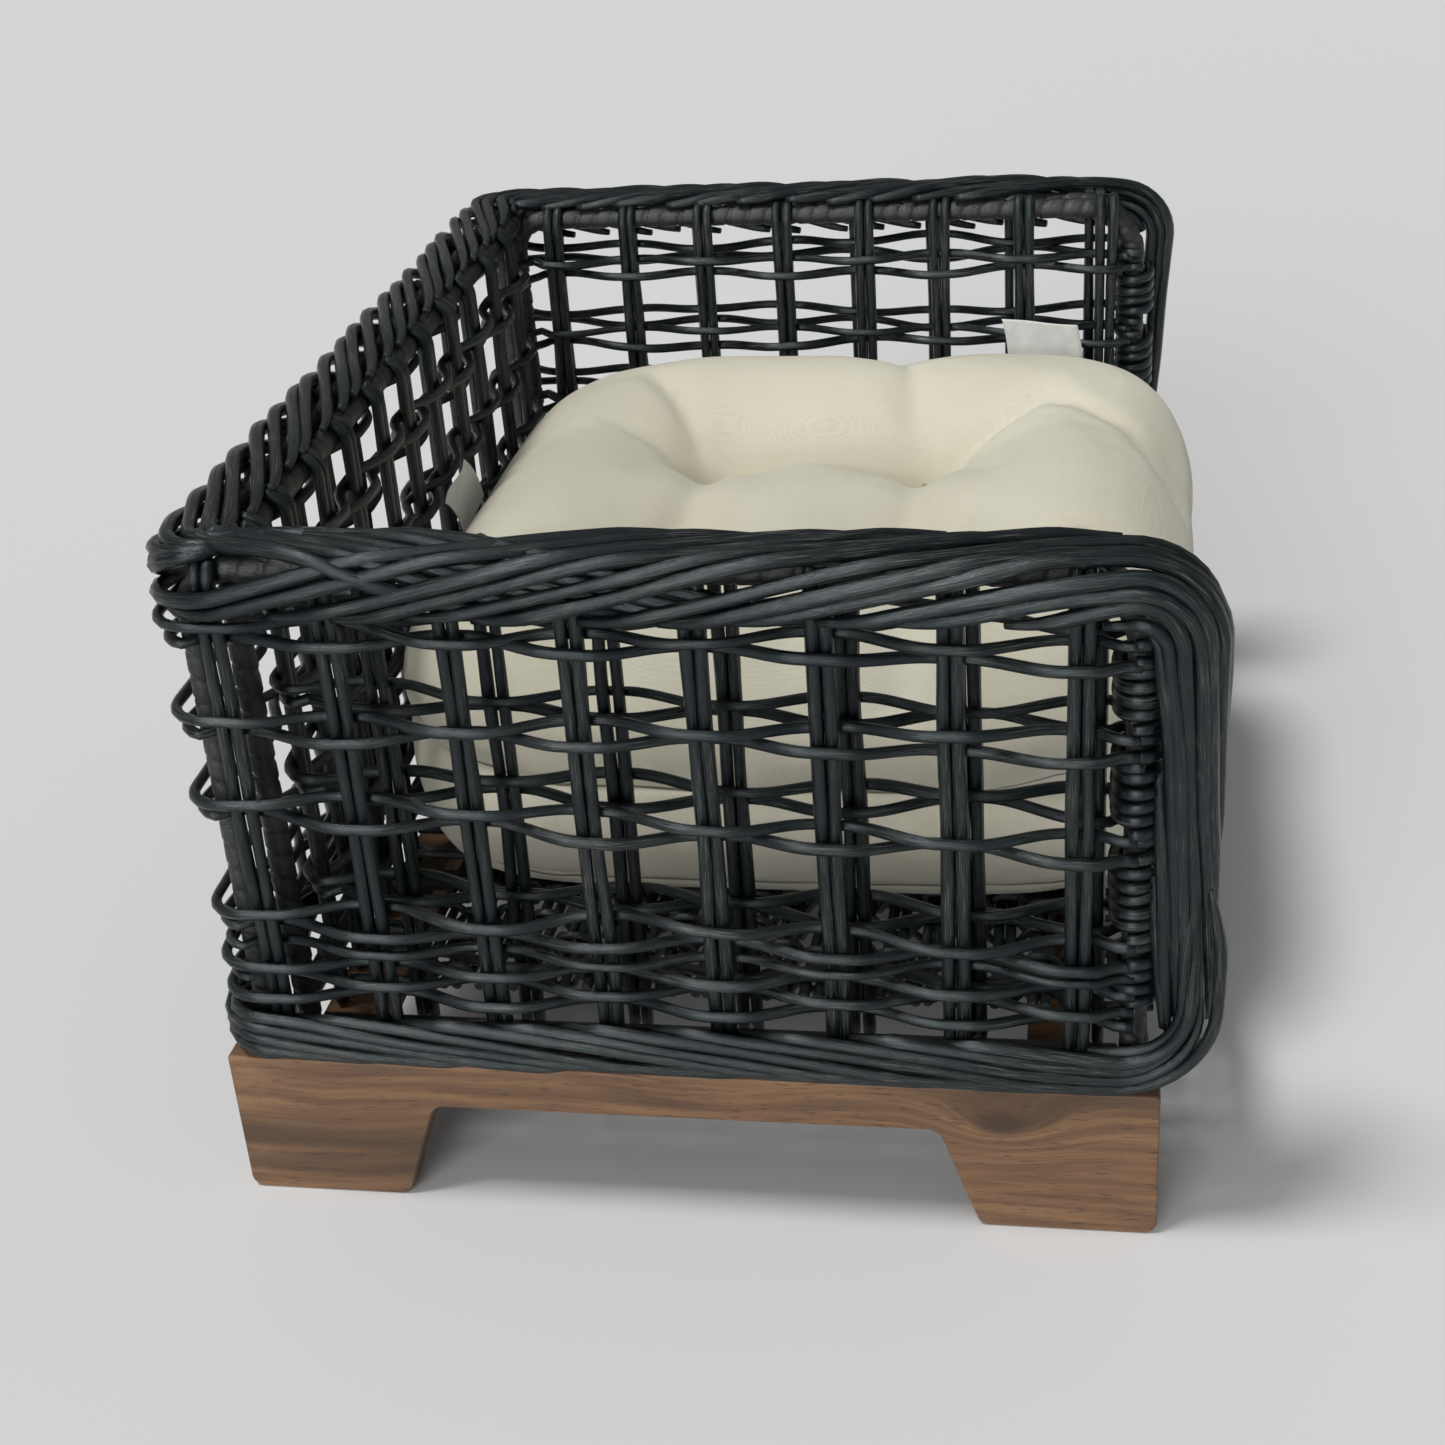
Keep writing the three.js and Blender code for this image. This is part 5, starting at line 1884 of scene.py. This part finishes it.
        size = np.linalg.norm(step, axis=1, keepdims=True)
        capped = step * (self.cap * np.tanh(size / self.cap) / np.maximum(size, 1e-9))
        piece.data.vertices.foreach_set("co", (rest + capped).astype(np.float32).ravel())
        piece.data.update()

    @staticmethod
    def _points(piece: bpy.types.Object) -> np.ndarray:
        """The mesh's points as an array.

        Args:
            piece: the object to read.

        Returns:
            One row for each point.
        """
        mesh = piece.data
        points = np.empty(len(mesh.vertices) * 3, dtype=np.float32)
        mesh.vertices.foreach_get("co", points)
        return points.reshape(-1, 3).astype(float)

    def _sew(self, piece: bpy.types.Object) -> None:
        """Seams: narrow grooves at two heights of the side band, deepest in the middle.

        Args:
            piece: the cushion cover.
        """
        mesh = piece.data
        points = self._points(piece)
        normals = np.empty(len(mesh.vertices) * 3, dtype=np.float32)
        mesh.vertices.foreach_get("normal", normals)
        normals = normals.reshape(-1, 3).astype(float)
        upright = 1 - np.abs(normals[:, 2])
        groove = np.zeros(len(points))
        for seam in self.seams:
            wave = 0.8 * MM * np.sin(points[:, 0] * 90) + 0.8 * MM * np.sin(points[:, 1] * 70 + 1)
            offset = (points[:, 2] - seam * MM - wave) / (1.7 * MM)
            groove = np.maximum(groove, np.exp(-offset ** 2) * np.clip(upright * 2.2, 0, 1))
        points -= normals * (groove * 1.6 * MM)[:, None]
        mesh.vertices.foreach_set("co", points.astype(np.float32).ravel())
        mesh.update()

    def ties(self, shop: Workshop) -> None:
        """Tuft ties: a short twist of thread laid in each dimple.

        Args:
            shop: where the finished pieces go.
        """
        for number in range(1, 5):
            low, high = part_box(f"tuft_tie_{number}")
            column, row = divmod(number - 1, 2)
            centre = np.array([self.tuft_x[column] * MM, self.tuft_y[row] * MM, (low[2] + high[2]) / 2])
            angle = np.linspace(0, 2.5 * math.tau, 60)
            ring = 1.7 * MM * (1 - 0.35 * angle / angle[-1])
            path = centre + np.stack([ring * np.cos(angle), ring * np.sin(angle),
                                      0.7 * MM * angle / math.tau - 2 * MM], axis=1)
            bundle = RodBundle(1000 + number, 6)
            bundle.add(path, (0.0, 0.0, 1.0), 0.45 * MM)
            shop.hand_over(bundle.build(f"tuft_twist_{number}"), Slot.THREAD, Body.CUSHION,
                           f"tuft_tie_{number}")


@dataclass
class Labels:
    """Blank care labels sewn into the cushion's seams, curling as they stand."""

    thickness: float = 0.35 * MM

    def _tab(self, name: str, foot: np.ndarray, width: np.ndarray, rise: np.ndarray, curl: np.ndarray,
             shop: Workshop, nodes: Sequence[str]) -> None:
        """One label: a strip that rises from its foot and curls away, with a real thickness.

        Its points are foot + across * width + up * rise + curl * up squared, with a slight wave.

        Args:
            name: the piece's name.
            foot: the middle of its sewn edge.
            width: the run of its sewn edge.
            rise: the run from its sewn edge to its free one.
            curl: how far its free edge is carried over.
            shop: where the finished pieces go.
            nodes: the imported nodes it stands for.
        """
        across = np.linspace(-0.5, 0.5, 18)
        up = np.linspace(0.0, 1.0, 24)
        grid_up, grid_across = np.meshgrid(up, across, indexing="ij")
        wave = 1.2 * MM * np.sin(grid_across * 7) * grid_up
        points = (foot + grid_across[..., None] * width + grid_up[..., None] * rise
                  + (grid_up ** 2)[..., None] * curl)
        normal = np.cross(width, rise)
        normal = normal / np.linalg.norm(normal)
        front = points + (wave + self.thickness / 2)[..., None] * normal
        back = points + (wave - self.thickness / 2)[..., None] * normal
        loop = np.concatenate([front, back[:, ::-1]], axis=1)
        piece = grid_mesh(name, loop, closed=False)
        shop.hand_over(piece, Slot.LABEL, Body.CUSHION, *nodes)

    def build(self, shop: Workshop) -> None:
        """The two sewn labels, each standing in for its packed plate.

        Args:
            shop: where the finished pieces go.
        """
        self._tab("care_label_rear", np.array([0.034, 0.1742, 0.218]), np.array([0.054, 0.003, 0.004]),
                  np.array([-0.015, -0.001, 0.040]), np.array([-0.022, -0.002, -0.003]), shop,
                  ["care_label_back"])
        self._tab("care_label_end", np.array([0.2385, -0.141, 0.226]), np.array([0.002, 0.046, 0.004]),
                  np.array([0.002, 0.0, 0.040]), np.array([-0.004, 0.004, -0.004]), shop,
                  ["care_label_right"])


# ---- studio -------------------------------------------------------------------------------------
@dataclass
class Studio:
    """Plain pale floor, soft lights and the camera."""

    eye: tuple[float, float, float] = (-1.08972, -0.17836, 0.69269)
    yaw: float = 0.19195
    pitch: float = 0.48596
    roll: float = -0.07415
    lens: float = 55.12
    sensor: float = 36.0
    backdrop: Colour = (0.715, 0.715, 0.715)
    surround: float = 0.36

    def camera(self) -> None:
        """Sets the camera by its yaw, pitch and roll."""
        cos_yaw, sin_yaw = math.cos(self.yaw), math.sin(self.yaw)
        ahead = np.array([cos_yaw * math.cos(self.pitch), sin_yaw * math.cos(self.pitch),
                          -math.sin(self.pitch)])
        level = np.array([sin_yaw, -cos_yaw, 0.0])
        above = np.cross(level, ahead)
        cos_roll, sin_roll = math.cos(self.roll), math.sin(self.roll)
        right = cos_roll * level + sin_roll * above
        up = -sin_roll * level + cos_roll * above
        data = bpy.data.cameras.new("camera")
        data.lens = self.lens
        data.sensor_width = self.sensor
        data.clip_start = 0.05
        lens_object = bpy.data.objects.new("camera", data)
        matrix = np.eye(4)
        matrix[:3, 0], matrix[:3, 1], matrix[:3, 2] = right, up, -ahead
        matrix[:3, 3] = self.eye
        lens_object.matrix_world = Matrix(matrix.tolist())
        bpy.context.scene.collection.objects.link(lens_object)
        bpy.context.scene.camera = lens_object

    def lights(self) -> None:
        """A soft key from overhead, a fill from the near end, and a pale surround."""
        self._sun("key", (-0.16, 0.34, 1.0), 15.0, 1.70)
        self._sun("fill", (-1.0, 0.28, 0.28), 36.0, 1.95)
        world = bpy.data.worlds.new("surround")
        world.use_nodes = True
        shade = world.node_tree.nodes["Background"]
        shade.inputs["Color"].default_value = (*self.backdrop, 1.0)
        shade.inputs["Strength"].default_value = self.surround
        bpy.context.scene.world = world
        bpy.context.scene.view_settings.view_transform = "Standard"

    @staticmethod
    def _sun(name: str, source: Sequence[float], spread: float, strength: float) -> None:
        """A distant soft light.

        Args:
            name: its name.
            source: direction it comes from.
            spread: how wide it is, in degrees.
            strength: its irradiance.
        """
        data = bpy.data.lights.new(name, "SUN")
        data.angle = math.radians(spread)
        data.energy = strength
        lamp = bpy.data.objects.new(name, data)
        back = np.asarray(source) / np.linalg.norm(source)
        across = np.cross((0.0, 1.0, 0.0), back)
        across /= np.linalg.norm(across)
        matrix = np.eye(4)
        matrix[:3, 0], matrix[:3, 1], matrix[:3, 2] = across, np.cross(back, across), back
        lamp.matrix_world = Matrix(matrix.tolist())
        bpy.context.scene.collection.objects.link(lamp)

    def floor(self) -> None:
        """A wide pale floor."""
        size = 60.0
        mesh = bpy.data.meshes.new("studio_floor")
        mesh.from_pydata([(-size, -size, 0), (size, -size, 0), (size, size, 0), (-size, size, 0)], [],
                         [(0, 1, 2, 3)])
        plane = link_object("studio_floor", mesh)
        shader = Shader("studio_floor")
        plane.data.materials.append(shader.finish(self.backdrop, 1.0, Specular_IOR_Level=0.0))

    def build(self) -> None:
        """Camera first, then light and floor."""
        self.camera()
        self.lights()
        self.floor()


def main() -> None:
    """Builds the bed piece by piece."""
    logging.basicConfig(level=logging.INFO, format="%(name)s %(message)s")
    Studio().build()
    shop = Workshop()
    layout = Layout()
    outer = WovenLayer("outer", WallLine(layout.outer_x, layout.outer_y, 12 * MM, layout.post_y),
                       -(layout.outer_x - layout.outer_rail_x), layout, 100, hook=48.0)
    inner = WovenLayer("inner", WallLine(layout.inner_x, layout.inner_y, 12 * MM, layout.post_y),
                       layout.inner_rail_x - layout.inner_x, layout, 200, pair_shift=6 * MM,
                       rows=((147, 152), (205, 208), (249, 251), (294, 296)), dense=(112.0,), hook=84.0)
    for layer in (outer, inner):
        layer.stakes(shop)
        layer.weavers(shop)
    borders = Borders(layout)
    borders.top(shop)
    borders.bottom(shop)
    borders.sill(shop)
    PostWraps(layout).build(shop)
    poles = RattanFrame(layout)
    poles.hoops(shop)
    poles.rails(shop)
    poles.bases(shop)
    Floor(layout).build(shop)
    stand = Stand()
    stand.boards(shop)
    stand.rest(shop)
    cushion = Cushion()
    cushion.build(shop)
    cushion.ties(shop)
    Labels().build(shop)


if __name__ == "__main__":
    main()
